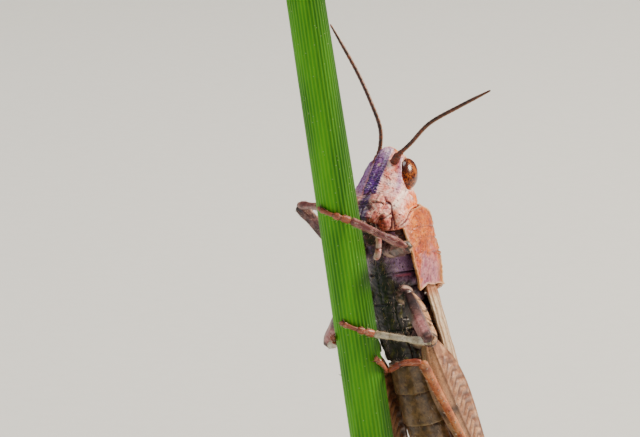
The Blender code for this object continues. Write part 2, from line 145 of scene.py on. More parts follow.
def joined(shapes):
    # several shapes as one, with their unwraps side by side in equal tiles
    starts = np.cumsum([0] + [len(shape["points"]) for shape in shapes])
    tiles = int(np.ceil(np.sqrt(len(shapes))))
    masks = {}
    for name in sorted({name for shape in shapes for name in shape["masks"]}):
        masks[name] = np.concatenate([s["masks"].get(name, np.zeros(len(s["points"]))) for s in shapes])
    unwraps = [(s["unwrap"] + (i % tiles, i // tiles, 0)) / tiles for i, s in enumerate(shapes)]
    return {
        "unwrap": np.vstack(unwraps),
        "points": np.vstack([s["points"] for s in shapes]),
        "faces": np.vstack([s["faces"] + start for s, start in zip(shapes, starts)]),
        "masks": masks,
    }


def sheetNormal(points, level):
    # the grid's own normals, turned away from the lengthwise line at that level
    normal = unit(np.cross(np.gradient(points, axis=0), np.gradient(points, axis=1)))
    return normal * np.sign((normal * (points - (0, 0, level)) * (0, 1, 1)).sum(-1, keepdims=True) + 1e-9)


def sheetShape(points, normal, wall, edgeRound, masks):
    # a thin sheet with an inner face: wall sqrt(1 - (1 - d / r)^2) below it, d from the nearest border
    near = []
    for axis in (0, 1):
        lengths = np.linalg.norm(np.diff(points, axis=axis, prepend=points.take([0], axis)), axis=-1)
        along = np.cumsum(lengths, axis=axis)
        near += [along, along.take([-1], axis) - along]
    depth = wall * np.sqrt(1 - (1 - held(np.min(near, axis=0) / edgeRound)) ** 2)
    return joined([gridShape(face, False, **masks) for face in (points, points - normal * depth[..., None])])


def addPiece(name, shape, material, nodes, onInsect=True):
    # the shape as a mesh in metres, doubles merged and faces turned out, riding on the one body
    points, faces = shape["points"], shape["faces"]
    mesh = bpy.data.meshes.new(name)
    mesh.vertices.add(len(points))
    world = (toStand(points) if onInsect else points) * 0.001
    mesh.vertices.foreach_set("co", world.astype(np.float32).ravel())
    mesh.loops.add(faces.size)
    mesh.loops.foreach_set("vertex_index", faces.astype(np.int32).ravel())
    mesh.polygons.add(len(faces))
    mesh.polygons.foreach_set("loop_start", np.arange(len(faces), dtype=np.int32) * faces.shape[1])
    mesh.update(calc_edges=True)
    values = {"place": shape.get("place", points), "unwrap": shape["unwrap"], **shape["masks"]}
    for word, numbers in values.items():
        kind, field = ("FLOAT_VECTOR", "vector") if numbers.ndim == 2 else ("FLOAT", "value")
        layer = mesh.attributes.new(word, kind, "POINT")
        layer.data.foreach_set(field, numbers.astype(np.float32).ravel())
    if "uv" in shape:
        bake = mesh.uv_layers.new(name="OFBake")
        bake.data.foreach_set("uv", shape["uv"][faces.ravel()].astype(np.float32).ravel())
    edit = bmesh.new()
    edit.from_mesh(mesh)
    bmesh.ops.remove_doubles(edit, verts=edit.verts, dist=1e-7)
    bmesh.ops.recalc_face_normals(edit, faces=edit.faces)
    edit.to_mesh(mesh)
    edit.free()
    mesh.shade_smooth()
    mesh.materials.append(material)
    piece = bpy.data.objects.new(name, mesh)
    bpy.context.scene.collection.objects.link(piece)
    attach(piece, "root")
    if nodes:
        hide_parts(*nodes)
    return piece


# Materials

def linear(colour):
    # sRGB hex to linear: ((c + 0.055) / 1.055)^2.4
    parts = np.array([int(colour[i:i + 2], 16) for i in (1, 3, 5)]) / 255
    return (*np.where(parts > 0.04045, ((parts + 0.055) / 1.055) ** 2.4, parts / 12.92), 1.0)


def wire(node, inputs):
    # links each socket that is given a socket, and sets the others
    for name, value in inputs.items():
        if isinstance(value, bpy.types.NodeSocket):
            node.id_data.links.new(value, node.inputs[name])
        else:
            node.inputs[name].default_value = value


def addNode(tree, kind, inputs, out=0, **settings):
    node = tree.nodes.new("ShaderNode" + kind)
    for name, value in settings.items():
        setattr(node, name, value)
    wire(node, inputs)
    return node.outputs[out]


def newMaterial(name):
    material = bpy.data.materials.new(name)
    material.use_nodes = True
    return material, material.node_tree.nodes["Principled BSDF"], partial(addNode, material.node_tree)


def washed(add, colour, *layers):
    # one colour over the last as each source runs from low to high, up to a share of it
    for source, low, high, tint, *share in layers:
        most = share[0] if share else 1
        amount = add("MapRange", {"Value": source, "From Min": low, "From Max": high, "To Max": most})
        colour = add("Mix", {0: amount, 6: colour, 7: linear(tint)}, 2, data_type="RGBA")
    return colour


def masked(add, colour, *layers):
    # one colour over the last by a strength, where the piece's own mask or another node says
    for source, tint, strength in layers:
        if isinstance(source, str):
            source = add("Attribute", {}, "Fac", attribute_name=source)
        amount = add("Math", {0: source, 1: strength}, operation="MULTIPLY")
        colour = add("Mix", {0: amount, 6: colour, 7: linear(tint)}, 2, data_type="RGBA")
    return colour


def chitin(name, look):
    # Sclerotised chitin: a waxy horn-like shell with soft blotches of pigment, dark specks and fine pits.
    # blotch is a size in mm. grain is size and strength, pit is size and depth, and speck is size, share of a
    # cell, strength and tone. Each mark lays one colour, or two in patches, where the piece's own mask says.
    look = {"marks": (), "wax": 0.15, "glow": 0.0, "rich": 1.0, "bright": 1.0, **look}
    material, shader, add = newMaterial(name)
    place = add("Attribute", {}, "Vector", attribute_name="place")
    blotch, (pitMm, pitDepth), tones = look["blotch"], look["pit"], look["tones"]
    cloud = add("TexNoise", {"Vector": place, "Scale": 1 / blotch, "Detail": 5, "Roughness": 0.62})
    colour = washed(add, linear(tones[0]), (cloud, 0.36, 0.50, tones[1]), (cloud, 0.50, 0.66, tones[2]))
    patches = add("TexNoise", {"Vector": place, "Scale": 2.3 / blotch, "Detail": 4, "Roughness": 0.6})
    patches = add("MapRange", {"Value": patches, "From Min": 0.42, "From Max": 0.60})
    for mask, tint, strength, *other in look["marks"]:
        here = add("Attribute", {}, "Fac", attribute_name=mask)
        here = add("Math", {0: here, 1: strength}, operation="MULTIPLY", use_clamp=True)
        second = linear(other[0] if other else tint)
        tint = add("Mix", {0: patches, 6: linear(tint), 7: second}, 2, data_type="RGBA")
        colour = add("Mix", {0: here, 6: colour, 7: tint}, 2, data_type="RGBA")
    # fine mottling over every tone
    grainMm, mottle = look["grain"]
    grain = add("TexNoise", {"Vector": place, "Scale": 1 / grainMm, "Detail": 3, "Roughness": 0.6})
    span = {"Value": grain, "From Min": 0.3, "From Max": 0.7, "To Min": 1 - mottle, "To Max": 1 + mottle}
    colour = add("VectorMath", {0: colour, "Scale": add("MapRange", span)}, operation="SCALE")
    # pigment specks: the middle of some Voronoi cells
    speckMm, share, strength, tone = look["speck"]
    wobble = add("VectorMath", {0: grain.node.outputs["Color"], "Scale": speckMm * 0.9}, operation="SCALE")
    nudged = add("VectorMath", {0: place, 1: wobble}, operation="ADD")
    cells = add("TexVoronoi", {"Vector": nudged, "Scale": 1 / speckMm, "Randomness": 1}, "Distance")
    which = add("SeparateColor", {0: cells.node.outputs["Color"]})
    size = add("Math", {0: which, 1: share}, operation="MULTIPLY")
    speck = add("MapRange", {"Value": cells, "From Min": size, "From Max": 0})
    colour = washed(add, colour, (speck, 0, 0.35, tone, strength))
    vivid = {"Saturation": look["rich"], "Value": look["bright"], "Color": colour}
    # pits and a fine leathery skin as relief
    pits = add("TexVoronoi", {"Vector": place, "Scale": 1 / pitMm}, "Distance")
    pits = add("MapRange", {"Value": pits, "From Min": 0.10, "From Max": 0.45})
    relief = add("Math", {0: grain, 1: 0.35, 2: pits}, operation="MULTIPLY_ADD")
    rough = {"Value": grain, "To Min": look["rough"] - 0.08, "To Max": look["rough"] + 0.10}
    wire(shader, {
        "Base Color": add("HueSaturation", vivid), "Roughness": add("MapRange", rough), "IOR": 1.55,
        "Normal": add("Bump", {"Height": relief, "Strength": 1, "Distance": pitDepth * 0.001}),
        "Coat Weight": look["wax"], "Coat Roughness": 0.30,
        "Subsurface Weight": look["glow"], "Subsurface Radius": (0.0003, 0.0001, 0.00006),
    })
    return material


# Head

headForm = {
    "centre": (0.85, 0, -0.05), "blend": 9, "cells": 112,
    "facets": (  # direction and distance of each flat facet, blended by a power mean
        ((0, 0, 1), 2.2), ((0.9, 0, 0.44), 2.1), ((0.385, 0.73, 0.58), 2), ((0, 0.8, 0.6), 1.55),
        ((-1, 0, 0), 0.95), ((0.9, 0, -0.43), 0.74), ((0.81, 0.5, -0.31), 0.9), ((0.75, 0.64, -0.1), 1.28),
        ((0.45, 0.88, -0.12), 1.38), ((0, 1, 0), 1.46), ((0.49, 0, -0.87), 1.08), ((0, 0.55, -0.83), 1.95),
    ),
    # direction, rise and sharpness of each swelling
    "peak": ((1.39, 0, 1.98), 0.10, 20), "temple": ((0.4, 0.34, 0.85), 0.25, 30),
    "cheek": ((-0.54, 0.63, -0.56), 0.34, 9),
    "costaHalf": 0.34, "costaRise": 0.12, "orbit": (0.566, 0.730),
    "socket": (1.95, 0.5, 1), "ocellus": (1.86, 0.76, 1.22), "frontOcellus": (2.06, 0, 0.62),
}
eyeForm = {
    "centre": (1.25, 0.82, 1.3), "half": (0.76, 0.59, 0.42),
    "up": (0.45, -0.13, 0.88), "out": (0.18, 0.93, 0.25),
}
faceLines = {  # creases and ridges of the left half, mirrored to the right
    "clypeus": ((1.32, 0, -0.86), (1.12, 0.38, -1.06), (0.89, 0.95, -1.12)),
    "jaw": ((0.89, 0.95, -1.12), (0.68, 1.04, -1.29), (0.32, 1.13, -1.46), (0, 1.06, -1.49)),
    "furrow": ((0.98, 1.3, 0.02), (0.87, 1.25, -0.66), (0.74, 1.06, -1.22)),
    "carina": ((1.92, 0.7, 1.2), (1.66, 0.9, 0.75), (1.44, 0.99, 0.3), (1.16, 1.1, -0.3), (0.9, 0.99, -1.06)),
    "arc": ((1.72, 0.38, 0.1), (1.64, 0.52, 0.06), (1.56, 0.62, 0.02), (1.48, 0.68, -0.1)),
    "collarFoot": (
        (-0.05, 1.5, 0.35), (0.14, 1.5, -0.1), (0.27, 1.46, -0.63), (0.18, 1.4, -1), (0.06, 1.33, -1.38),
    ),
}
mouthForm = {
    "plateBlend": 3.6,
    "lip": {"centre": (0.80, 0, -1.55), "half": (0.30, 0.86, 0.80), "lean": 25, "cells": 56},
    "jaw": {"centre": (0.40, 0.84, -1.50), "half": (0.44, 0.30, 0.56), "lean": 14, "cells": 44},
    "chin": {"centre": (0, 0, -1.98), "half": (0.58, 0.70, 0.46), "lean": 0, "cells": 40},
    "palp": ((0.10, 0.62, -2.25), (-0.05, 0.92, -2.72), (-0.62, 0.80, -2.86), (-1, 0.52, -2.74)),
    "palpJoints": (0.16, 0.34, 0.62), "palpRadius": 0.135,
}


def eyeFrame(side):  # rows: outwards, fore and aft, up; and the eye's centre
    up = unit(np.array(eyeForm["up"]) * (1, side, 1))
    out = np.array(eyeForm["out"]) * (1, side, 1)
    out = unit(out - up * (out @ up))
    return np.array((out, np.cross(up, out), up)), np.array(eyeForm["centre"]) * (1, side, 1)


def leanAxes(form):  # the axes of a mouth plate that leans forward by form["lean"] degrees
    lean = np.radians(form["lean"])
    return np.array(((np.cos(lean), 0, -np.sin(lean)), (0, 1, 0), (np.sin(lean), 0, np.cos(lean))))


def plateGap(points, form):
    # distance to the plate along the ray from its centre: |p| (1 - 1 / (sum |p / half|^n)^(1 / n))
    local = (points - form["centre"]) @ leanAxes(form).T
    power = mouthForm["plateBlend"]
    size = (np.abs(local / form["half"]) ** power).sum(-1) ** (1 / power)
    return np.linalg.norm(local, axis=-1) * (1 - 1 / np.maximum(size, 1e-6))


def mirrorOf(ways):  # -1 for the y of what lies on the right half
    return np.where(ways[..., 1:2] < 0, (1.0, -1.0, 1.0), (1.0, 1.0, 1.0))


def swelling(ways, name):  # rise max(0, way . direction)^power
    direction, rise, power = headForm[name]
    return rise * np.maximum(0, (ways * mirrorOf(ways)) @ unit(np.array(direction))) ** power


def headReach(ways):
    # 1 / (sum of (way . facet / distance)^n)^(1 / n) over the facets and their mirror images, and the cheeks
    lean = np.zeros(ways.shape[:-1])
    for normal, distance in headForm["facets"]:
        normal = unit(np.array(normal))
        for side in ((1, -1) if normal[1] else (1,)):
            lean += np.maximum(ways @ (normal * (1, side, 1)) / distance, 0) ** headForm["blend"]
    return lean ** (-1 / headForm["blend"]) + swelling(ways, "cheek")


def cubeDirections(cells):
    # six square grids on a cube, blown up to a sphere: every cell about the same size, no poles
    edge = np.tan(np.linspace(-1, 1, cells) * np.pi / 4)
    u, v = np.meshgrid(edge, edge, indexing="ij")
    one = np.ones_like(u)
    faces = ((one, u, v), (-one, u, v), (u, one, v), (u, -one, v), (u, v, one), (u, v, -one))
    return [unit(np.stack(face, -1)) for face in faces]


def headSide(ways):
    # the blended facets, the frontal ridge between the feelers, then creases, rims and seams, and marks that
    # include painted shade, shadow and highlight
    mirror = mirrorOf(ways)
    reach = headReach(ways) + swelling(ways, "peak") + swelling(ways, "temple")
    points = np.array(headForm["centre"]) + ways * reach[..., None]
    onFace = held((ways[..., 0] - 0.25) / 0.3)
    ridge = np.exp(-((points[..., 1] / headForm["costaHalf"]) ** 4))
    points[..., 0] += headForm["costaRise"] * onFace * ridge
    # the orbit: beyond the eye's middle the shell stays under the cornea, and round it under a shallow bowl
    axes, centre = eyeFrame(1)
    up, fore, out = eyeForm["half"]
    local = (points * mirror - centre) @ axes.T
    window = np.hypot(local[..., 1] / headForm["orbit"][0], local[..., 2] / headForm["orbit"][1])
    cornea = np.maximum(0, 1 - (local[..., 1] / fore) ** 2 - (local[..., 2] / up) ** 2)
    under = np.minimum(0.86 * out * np.sqrt(cornea) - 0.04, 0.30)
    bowl = np.where(window < 1, under, -0.04 + 0.20 * (window - 1) + 0.30 * (window - 1) ** 2)
    over = local[..., 0] - bowl
    lowered = bowl + np.where(over > 0, 0.03 * (1 - np.exp(-over / 0.03)), over)
    near = (local[..., 0] > -0.45) & (window < 2.6)
    local[..., 0] = np.where(near, lowered, local[..., 0])
    mirrored = local @ axes + centre
    points = mirrored * mirror
    x, y, z = points[..., 0], np.abs(points[..., 1]), points[..., 2]
    line = {}
    for name, route in faceLines.items():
        seen = unit(through(np.array(route) - headForm["centre"], 16))
        line[name] = nearLine(ways * mirror, seen) * reach
    gap = np.minimum(*(np.abs(plateGap(mirrored, mouthForm[name])) for name in ("lip", "jaw")))
    names = ("socket", "ocellus", "frontOcellus")
    socket, ocellus, frontOcellus = (np.linalg.norm(mirrored - headForm[name], axis=-1) for name in names)
    onCosta = onFace * step(z, -1.05, -0.9) * fade(z, 1.55, 1.75)
    costa = onCosta * fade(y, 0.30, 0.36)
    edge = bump(y - 0.28, 0.045) * onCosta
    beads = 0.5 + 0.5 * np.sin(z * 2 * np.pi / 0.13 + 1.6 * np.sin(z * 5) + 2 * np.sign(points[..., 1]))
    middle = bump(y, 0.17) * onCosta * (1 - 0.6 * step(z, 0.9, 1.4))
    arc = -0.02 * bump(line["arc"], 0.022) + 0.02 * bump(line["arc"] - 0.05, 0.03)
    relief = 0.045 * edge * (0.6 + 0.5 * beads) - 0.05 * middle + arc
    for name, height, width in (
        ("carina", 0.05, 0.07), ("clypeus", -0.05, 0.035), ("jaw", -0.06, 0.035), ("furrow", -0.028, 0.05),
        ("collarFoot", -0.03, 0.04),
    ):
        relief += height * bump(line[name], width)
    for value, height, width in (
        (window - 1.13, 0.045, 0.07), (socket - 0.24, 0.06, 0.05), (socket, -0.07, 0.15),
        (ocellus, 0.035, 0.07), (frontOcellus, 0.03, 0.08),
    ):
        relief += height * bump(value, width)
    relief += 0.030 * bump(y, 0.035) * step(z, 1.7, 1.85)
    relief += 0.010 * lumps(points, 0.5, 3) + 0.007 * lumps(points, 0.16, 4)
    points = points + ways * relief[..., None]
    # painted shade: the far half of the face is tinted blue-violet and darkened, as it lies in shade
    farSide = fade(points[..., 1], -0.55, -0.30) * onFace
    # dark seams, with painted shadow where the head meets the mouth plates and under the collar's front edge
    seamsAndShadows = 1.1 * bump(line["clypeus"], 0.035) + 1.1 * bump(line["jaw"], 0.04) + 1.2 * bump(gap, 0.06)
    seamsAndShadows += 0.5 * bump(line["arc"], 0.022) + 1.2 * bump(line["collarFoot"], 0.035)
    seamsAndShadows += bump(window - 1, 0.045) + 0.9 * bump(socket - 0.14, 0.05)
    pale = 0.8 * bump(line["furrow"] - 0.05, 0.06) + 0.6 * bump(window - 1.14, 0.05)
    # a pale line just in front of the collar foot is a painted highlight on the rim of the gap
    pale += 0.5 * bump(line["collarFoot"] - 0.08, 0.025)
    beaded = bump(y - 0.24, 0.12) * onCosta * step(beads + 0.25 * lumps(points, 0.2, 9), 0.40, 0.70)
    mouthShade = fade(y, 0.22, 0.42) * step(-z, 0.72, 0.92) * onFace
    return gridShape(
        points, False, costa=costa, costaRim=edge, beads=held(beaded), crease=held(seamsAndShadows), pale=held(pale),
        costaDeep=onCosta * fade(z, -0.3, 0.7) * fade(y, 0.26, 0.34), costaTop=costa * step(z, 0.75, 1.5),
        lavender=held(0.75 * bump(line["carina"], 0.11) * step(z, -0.9, 0)), lowFace=fade(z, -1.25, -0.95),
        shaded=held(0.30 * farSide * fade(z, 1.2, 1.7) + mouthShade), farSide=farSide * step(z, -1.1, -0.8),
        crown=step(z, 1.45, 1.85), rear=fade(x, 0.15, 0.75) * step(z, -1.5, -0.6),
        glint=held(bump(ocellus, 0.06) + bump(frontOcellus, 0.07)),
    )


faceShell = chitin("speckledFaceChitin", {
    "tones": ("#c27c70", "#e6b2a8", "#f6dfd8"), "blotch": 0.42, "rich": 1.34, "bright": 1.26,
    "grain": (0.06, 0.20), "speck": (0.115, 0.55, 0.88, "#4e1830"), "pit": (0.10, 0.011),
    "rough": 0.44, "wax": 0.2, "glow": 0.05,
    "marks": (
        ("lavender", "#7b5294", 0.85, "#c39cc6"), ("rear", "#d9713a", 0.80, "#ec9f6a"),
        # the far side and shaded marks are painted shade on the far half of the face
        ("crown", "#c08a50", 0.75, "#e6c090"), ("farSide", "#4a3f8c", 0.62, "#a08ac8"),
        ("shaded", "#2a1630", 0.92, "#6d4f70"), ("costa", "#44205e", 0.94, "#96709e"),
        ("costaDeep", "#2c1248", 0.8, "#643f86"), ("costaRim", "#46205a", 0.6),
        ("lowFace", "#c27a6c", 0.5, "#e5b3a4"), ("costaTop", "#c9a6c4", 0.7, "#ecd6d6"),
        # the dark seam mark is partly painted shadow, round the mouth plates and under the collar's front edge
        # the pale mark is partly a painted highlight just in front of the collar foot
        ("pale", "#f8e6da", 0.9), ("beads", "#1d0c33", 0.95), ("crease", "#4c1222", 0.92),
        ("glint", "#e9d9b0", 0.7),
    ),
})
headGrids = [headSide(ways) for ways in cubeDirections(headForm["cells"])]
headPiece = addPiece("headShell", joined(headGrids), faceShell, ["head"])
print("head done")


# Eyes

def eyeShape(side):
    # an ellipsoid with its poles at the top and bottom of the eye
    axes, centre = eyeFrame(side)
    down, turn = np.linspace(0, np.pi, 90)[:, None], around(120)
    ball = np.stack((np.sin(down) * np.cos(turn), np.sin(down) * np.sin(turn), np.cos(down) + 0 * turn), -1)
    local = ball * eyeForm["half"][::-1]
    return {**gridShape(centre + local @ axes), "place": local.reshape(-1, 3)}


def eyeMaterial():
    # Compound eye: a clear glossy cornea over thousands of tiny lenses, with brown pigment blotches beneath
    material, shader, add = newMaterial("compoundEyeCornea")
    place = add("Attribute", {}, "Vector", attribute_name="place")
    cloud = add("TexNoise", {"Vector": place, "Scale": 3.5, "Detail": 3})
    # pigment spots about 0.05 mm across, 0.085 mm apart, over soft clouds, and a dark rim
    spots = add("TexVoronoi", {"Vector": place, "Scale": 1 / 0.085, "Randomness": 0.7}, "Distance")
    rim = add("Math", {0: add("SeparateXYZ", {0: place}, "Y")}, operation="ABSOLUTE")
    layers = (cloud, 0.40, 0.62, "#a85f2a"), (spots, 0.46, 0.34, "#2c0f17"), (rim, 0.44, 0.52, "#3a160f")
    # lenses are 0.02 mm in life; drawn at 0.035 mm so that they show
    lenses = add("TexVoronoi", {"Vector": place, "Scale": 1 / 0.035, "Randomness": 0.25}, "Distance")
    wire(shader, {
        "Base Color": washed(add, linear("#5c2612"), *layers), "Roughness": 0.24, "IOR": 1.34,
        "Normal": add("Bump", {"Height": lenses, "Strength": 0.25, "Distance": 0.000006}, invert=True),
        "Coat Weight": 0.45, "Coat IOR": 1.35, "Coat Roughness": 0.12,
    })
    return material


eyeCornea = eyeMaterial()
for word, side in sides.items():
    addPiece(f"eye{word.title()}", eyeShape(side), eyeCornea, [f"eye_{word}"])
print("eyes done")


# Tubes

def sweep(path, across, up, reference, count):
    # rings along a path: p + cos a * across * side + sin a * up * rise, where rise leans to the reference
    along = unit(np.gradient(path, axis=0))
    rise = unit(reference - along * (along * reference).sum(-1, keepdims=True))
    side, turn = np.cross(along, rise), around(count)
    across, up = (np.reshape(size, (len(path), -1)) for size in (across, up))
    ring = (across * np.cos(turn))[..., None] * side[:, None] + (up * np.sin(turn))[..., None] * rise[:, None]
    return path[:, None] + ring


def lengthAlong(path):
    return np.concatenate(([0], np.cumsum(np.linalg.norm(np.diff(path, axis=0), axis=1))))


def pathAt(path, where):  # the points of a path at these lengths along it
    length = lengthAlong(path)
    return np.stack([np.interp(where, length, path[:, k]) for k in range(3)], -1)


def denseEnds(path, ends):
    # the path again, with extra places packed near both ends where the piece rounds off
    length = lengthAlong(path)
    near = ends * (1 - np.cos(quarter(8)))
    where = np.unique(np.concatenate((near, length, length[-1] - near)))
    return pathAt(path, where), where


def roundEnds(where, start, end):
    # closes both ends like domes: sqrt(1 - (1 - d / r)^2) of the distance d from each end
    a, b = held(1 - where / start), held(1 - (where[-1] - where) / end)
    return np.sqrt((1 - a**2) * (1 - b**2))


def domedRows(length, start, end, count, last=8):
    # lengths along a piece, packed where its two ends round off, and how far each ring is drawn in there
    head = start * (1 - np.cos(quarter(8)))[:-1]
    tail = length - end * (1 - np.sin(quarter(last)))[1:]
    where = np.concatenate((head, np.linspace(start, length - end, count), tail))
    return where, roundEnds(where, start, end)


def bristles(roots, ways, lengths, radii, bend, corners=3, unwrap=None):
    # tapering hairs: root + way L s + bend L s^2, in rings of radius r f(s), drawn to a point at both ends
    ways = unit(ways)
    s = np.array((-0.06, 0, 0.3, 0.65, 1))[None, :, None]
    swell = np.array((0, 1, 0.8, 0.5, 0))[None, :, None, None]
    spine = roots[:, None] + (ways[:, None] * s + bend[:, None] * s**2) * lengths[:, None, None]
    other = unit(np.cross(ways, np.where(np.abs(ways[:, 2:3]) < 0.9, (0.0, 0.0, 1.0), (1.0, 0.0, 0.0))))
    third = np.cross(ways, other)
    turn = around(corners)
    spoke = np.stack((np.cos(turn), np.sin(turn)), -1) @ np.stack((other, third), 1)
    points = spine[:, :, None] + spoke[:, None] * radii[:, None, None, None] * swell
    n, rings = len(roots), s.size
    base = np.arange(n)[:, None, None] * rings * corners
    r, c = np.arange(rings - 1)[None, :, None], np.arange(corners)[None, None, :]
    cell = ((0, 0), (1, 0), (1, 1), (0, 1))
    faces = np.stack([base + (r + i) * corners + (c + j) % corners for i, j in cell], -1)
    # each hair's own patch, 0.003 across, at its root's place on the skin's unwrap
    patch = np.stack(np.broadcast_arrays(turn[None, None, :] * 0.0005, s * 0.003, np.zeros((n, 1, 1))), -1)
    patch = patch + (np.zeros((n, 3)) if unwrap is None else unwrap)[:, None, None]
    return {
        "points": points.reshape(-1, 3), "faces": faces.reshape(-1, 4), "unwrap": patch.reshape(-1, 3),
        "masks": {"tip": np.broadcast_to(held(s), (n, rings, corners)).ravel()},
    }


def hairsOver(skins, count, length, radius, lie, lift, weight, seed):
    # roots spread by area times weight(place) over finished skins; each hair leans from the normal to the lie
    rng = np.random.default_rng(seed)
    rows = []
    for skin in skins:
        mesh = skin.data

        def read(things, name, size, kind=np.float32):
            values = np.zeros(len(things) * size, kind)
            things.foreach_get(name, values)
            return values.reshape(-1, size)

        first = read(mesh.polygons, "loop_start", 1, np.int32)[:, 0]
        corner = read(mesh.loops, "vertex_index", 1, np.int32)[first, 0]
        centre = toInsect(read(mesh.polygons, "center", 3) * 1000.0)
        normal = read(mesh.polygons, "normal", 3) @ insectAxes.T
        chance = read(mesh.polygons, "area", 1) * weight(centre, normal)[:, None]
        unwrap = read(mesh.attributes["unwrap"].data, "vector", 3)[corner]
        rows.append(np.hstack((centre, normal, unwrap, chance)))
    rows = np.vstack(rows)
    chosen = rows[rng.choice(len(rows), count, p=rows[:, 9] / rows[:, 9].sum())]
    centre, normal, unwrap = chosen[:, :3], chosen[:, 3:6], chosen[:, 6:9]
    lie = np.asarray(lie, float)
    flow = unit(lie - normal * (normal @ lie)[:, None] + 0.25 * rng.normal(size=centre.shape))
    ways = unit(flow + normal * (lift * rng.uniform(0.6, 1.5, (count, 1))))
    lengths, radii = rng.uniform(*length, count), radius * rng.uniform(0.8, 1.2, count)
    return bristles(centre, ways, lengths, radii, flow * 0.25 - normal * 0.12, 3, unwrap)


def addHairs(name, shape, material):
    addPiece(name, {**shape, "uv": shape["unwrap"][:, :2]}, material, [])


# Feelers

feelerForm = {
    "left": (
        (1.8, 0.44, 0.98), (2.22, 0.78, 0.98), (2.75, 1.6, 0.95), (3.55, 2.75, 0.95), (4.15, 4.35, 0.95),
        (4.76, 6.1, 0.8),
    ),
    "right": (
        (1.8, -0.44, 0.98), (2.34, -0.42, 1.74), (3.2, -0.26, 1.98), (4.3, -0.5, 2.25), (5.76, -1.05, 2.7),
        (7.87, -1.85, 3),
    ),
    "joints": 24, "pedicel": 0.84, "tableLength": 7.6,
    "radii": (
        (0, 0.15), (0.2, 0.2), (0.55, 0.19), (0.66, 0.125), (0.8, 0.135), (0.9, 0.105), (3, 0.1), (5, 0.096),
        (6.4, 0.085), (7.6, 0.045),
    ),
}


def feelerShape(route):
    # a tube whose radius dips at each joint of the whip, past the two stout joints at its root
    path, where = denseEnds(through(route, 420), 0.1)
    place, radius = np.array(feelerForm["radii"]).T
    stretch = np.where(place > 1, where[-1] / feelerForm["tableLength"], 1)
    start = feelerForm["pedicel"]
    phase = held((where - start) / (where[-1] - start)) * feelerForm["joints"]
    ringed = bump(np.abs(phase - np.round(phase)), 0.10) * (where > start)
    radius = np.interp(where, place * stretch, radius) * (1 - 0.13 * ringed) * roundEnds(where, 0.1, 0.12)
    rings = sweep(path, radius * 0.92, radius, (0.3, 0.5, -0.8), 18)
    paleEdge = step(np.cos(around(18)), 0.3, 0.9) * step(where, 0.7, 1)[:, None]
    return gridShape(rings, joint=ringed[:, None], base=fade(where, 0.75, 1.1)[:, None], paleEdge=paleEdge)


feelerShell = chitin("ringedFeelerChitin", {
    "tones": ("#30100a", "#562416", "#844024"), "blotch": 0.25, "grain": (0.05, 0.25),
    "speck": (0.10, 0.40, 0.5, "#1c0808"), "pit": (0.06, 0.008), "rough": 0.42, "wax": 0.2,
    "marks": (("paleEdge", "#c79a72", 0.55), ("base", "#5c1f10", 0.6, "#9a4a2a"), ("joint", "#160708", 0.75)),
})
for word in sides:
    shape = feelerShape(feelerForm[word])
    addPiece(f"feeler{word.title()}", shape, feelerShell, [f"antenna_{word}"])
print("feelers done")


# Mouth

def mouthPlate(form, side, relieve):
    # a superellipsoid leaning forward, with the relief and masks of relieve(local) worked in its own axes
    centre, power, shapes = np.array(form["centre"]) * (1, side, 1), mouthForm["plateBlend"], []
    for ways in cubeDirections(form["cells"]):
        local = ways * (np.abs(ways) ** power).sum(-1, keepdims=True) ** (-1 / power) * form["half"]
        relief, masks = relieve(local * (1, side, 1))
        points = centre + (local + ways * relief[..., None]) @ leanAxes(form)
        fromHead = points - headForm["centre"]
        clear = np.linalg.norm(fromHead, axis=-1) - headReach(unit(fromHead))
        # the seam mask also darkens the plate where it comes near the head: a dark joint with painted shade
        # between the parts
        masks["seam"] = held(masks["seam"] + fade(clear, 0.04, 0.10))
        shapes.append(gridShape(points, False, **masks))
    return joined(shapes)


def lipRelief(p):
    x, y, z = p[..., 0], np.abs(p[..., 1]), p[..., 2]
    seam = bump(z - 0.10 - 0.10 * y, 0.035) * step(x, 0, 0.1)  # where the clypeus meets the lip below it
    notch = bump(y, 0.14) * bump(z + 0.85, 0.25)
    border = bump(y - 0.62, 0.05) * step(z, 0.15, 0.3)
    border += bump(z - 0.30 + 0.5 * (y - 0.3) ** 2, 0.05) * fade(y, 0.55, 0.65)
    pits = bump(np.hypot(y - 0.38, z + 0.22), 0.17)
    relief = 0.04 * border - 0.06 * seam - 0.12 * notch - 0.10 * pits - 0.04 * bump(y, 0.05) * step(-z, 0, 0.2)
    relief += 0.05 * bump(z + 0.58 + 0.2 * y, 0.08) + 0.014 * lumps(p, 0.3, 11)
    shade = np.maximum(fade(y + 0.10 * z, 0.16, 0.40), 0.85 * fade(p[..., 1], -0.55, -0.25))
    return relief, {
        # the seam also darkens the lip's top, where it meets the head, as painted shade
        "seam": held(seam + step(z, 0.66, 0.76) + 0.7 * bump(y - 0.54, 0.03) * step(z, 0.15, 0.3)),
        "blob": bump(np.linalg.norm(p - (0.33, 0.27, -0.06), axis=-1), 0.19), "rim": fade(z, -0.70, -0.5),
        "sides": step(y, 0.60, 0.75), "shade": shade, "ridge": held(border),
    }


def jawRelief(p):
    x, z = p[..., 0], p[..., 2]
    ridge, groove = bump(z + 0.6 * x + 0.05, 0.07), bump(x - 0.16 + 0.25 * z, 0.035)
    return 0.03 * ridge - 0.05 * groove + 0.012 * lumps(p, 0.25, 12), {
        # the seam also darkens the jaw's top, where it meets the head, as painted shade
        "seam": held(step(z, 0.50, 0.62) + groove), "rim": fade(z, -0.60, -0.35),
        "sides": bump(x + 0.2, 0.15), "ridge": ridge,
    }


def chinRelief(p):
    low = fade(p[..., 2], 0, 0.2)
    split, cross = bump(p[..., 1], 0.05) * low, bump(p[..., 0] - 0.1, 0.04) * low
    return -0.05 * split - 0.04 * cross, {"seam": held(split + cross)}


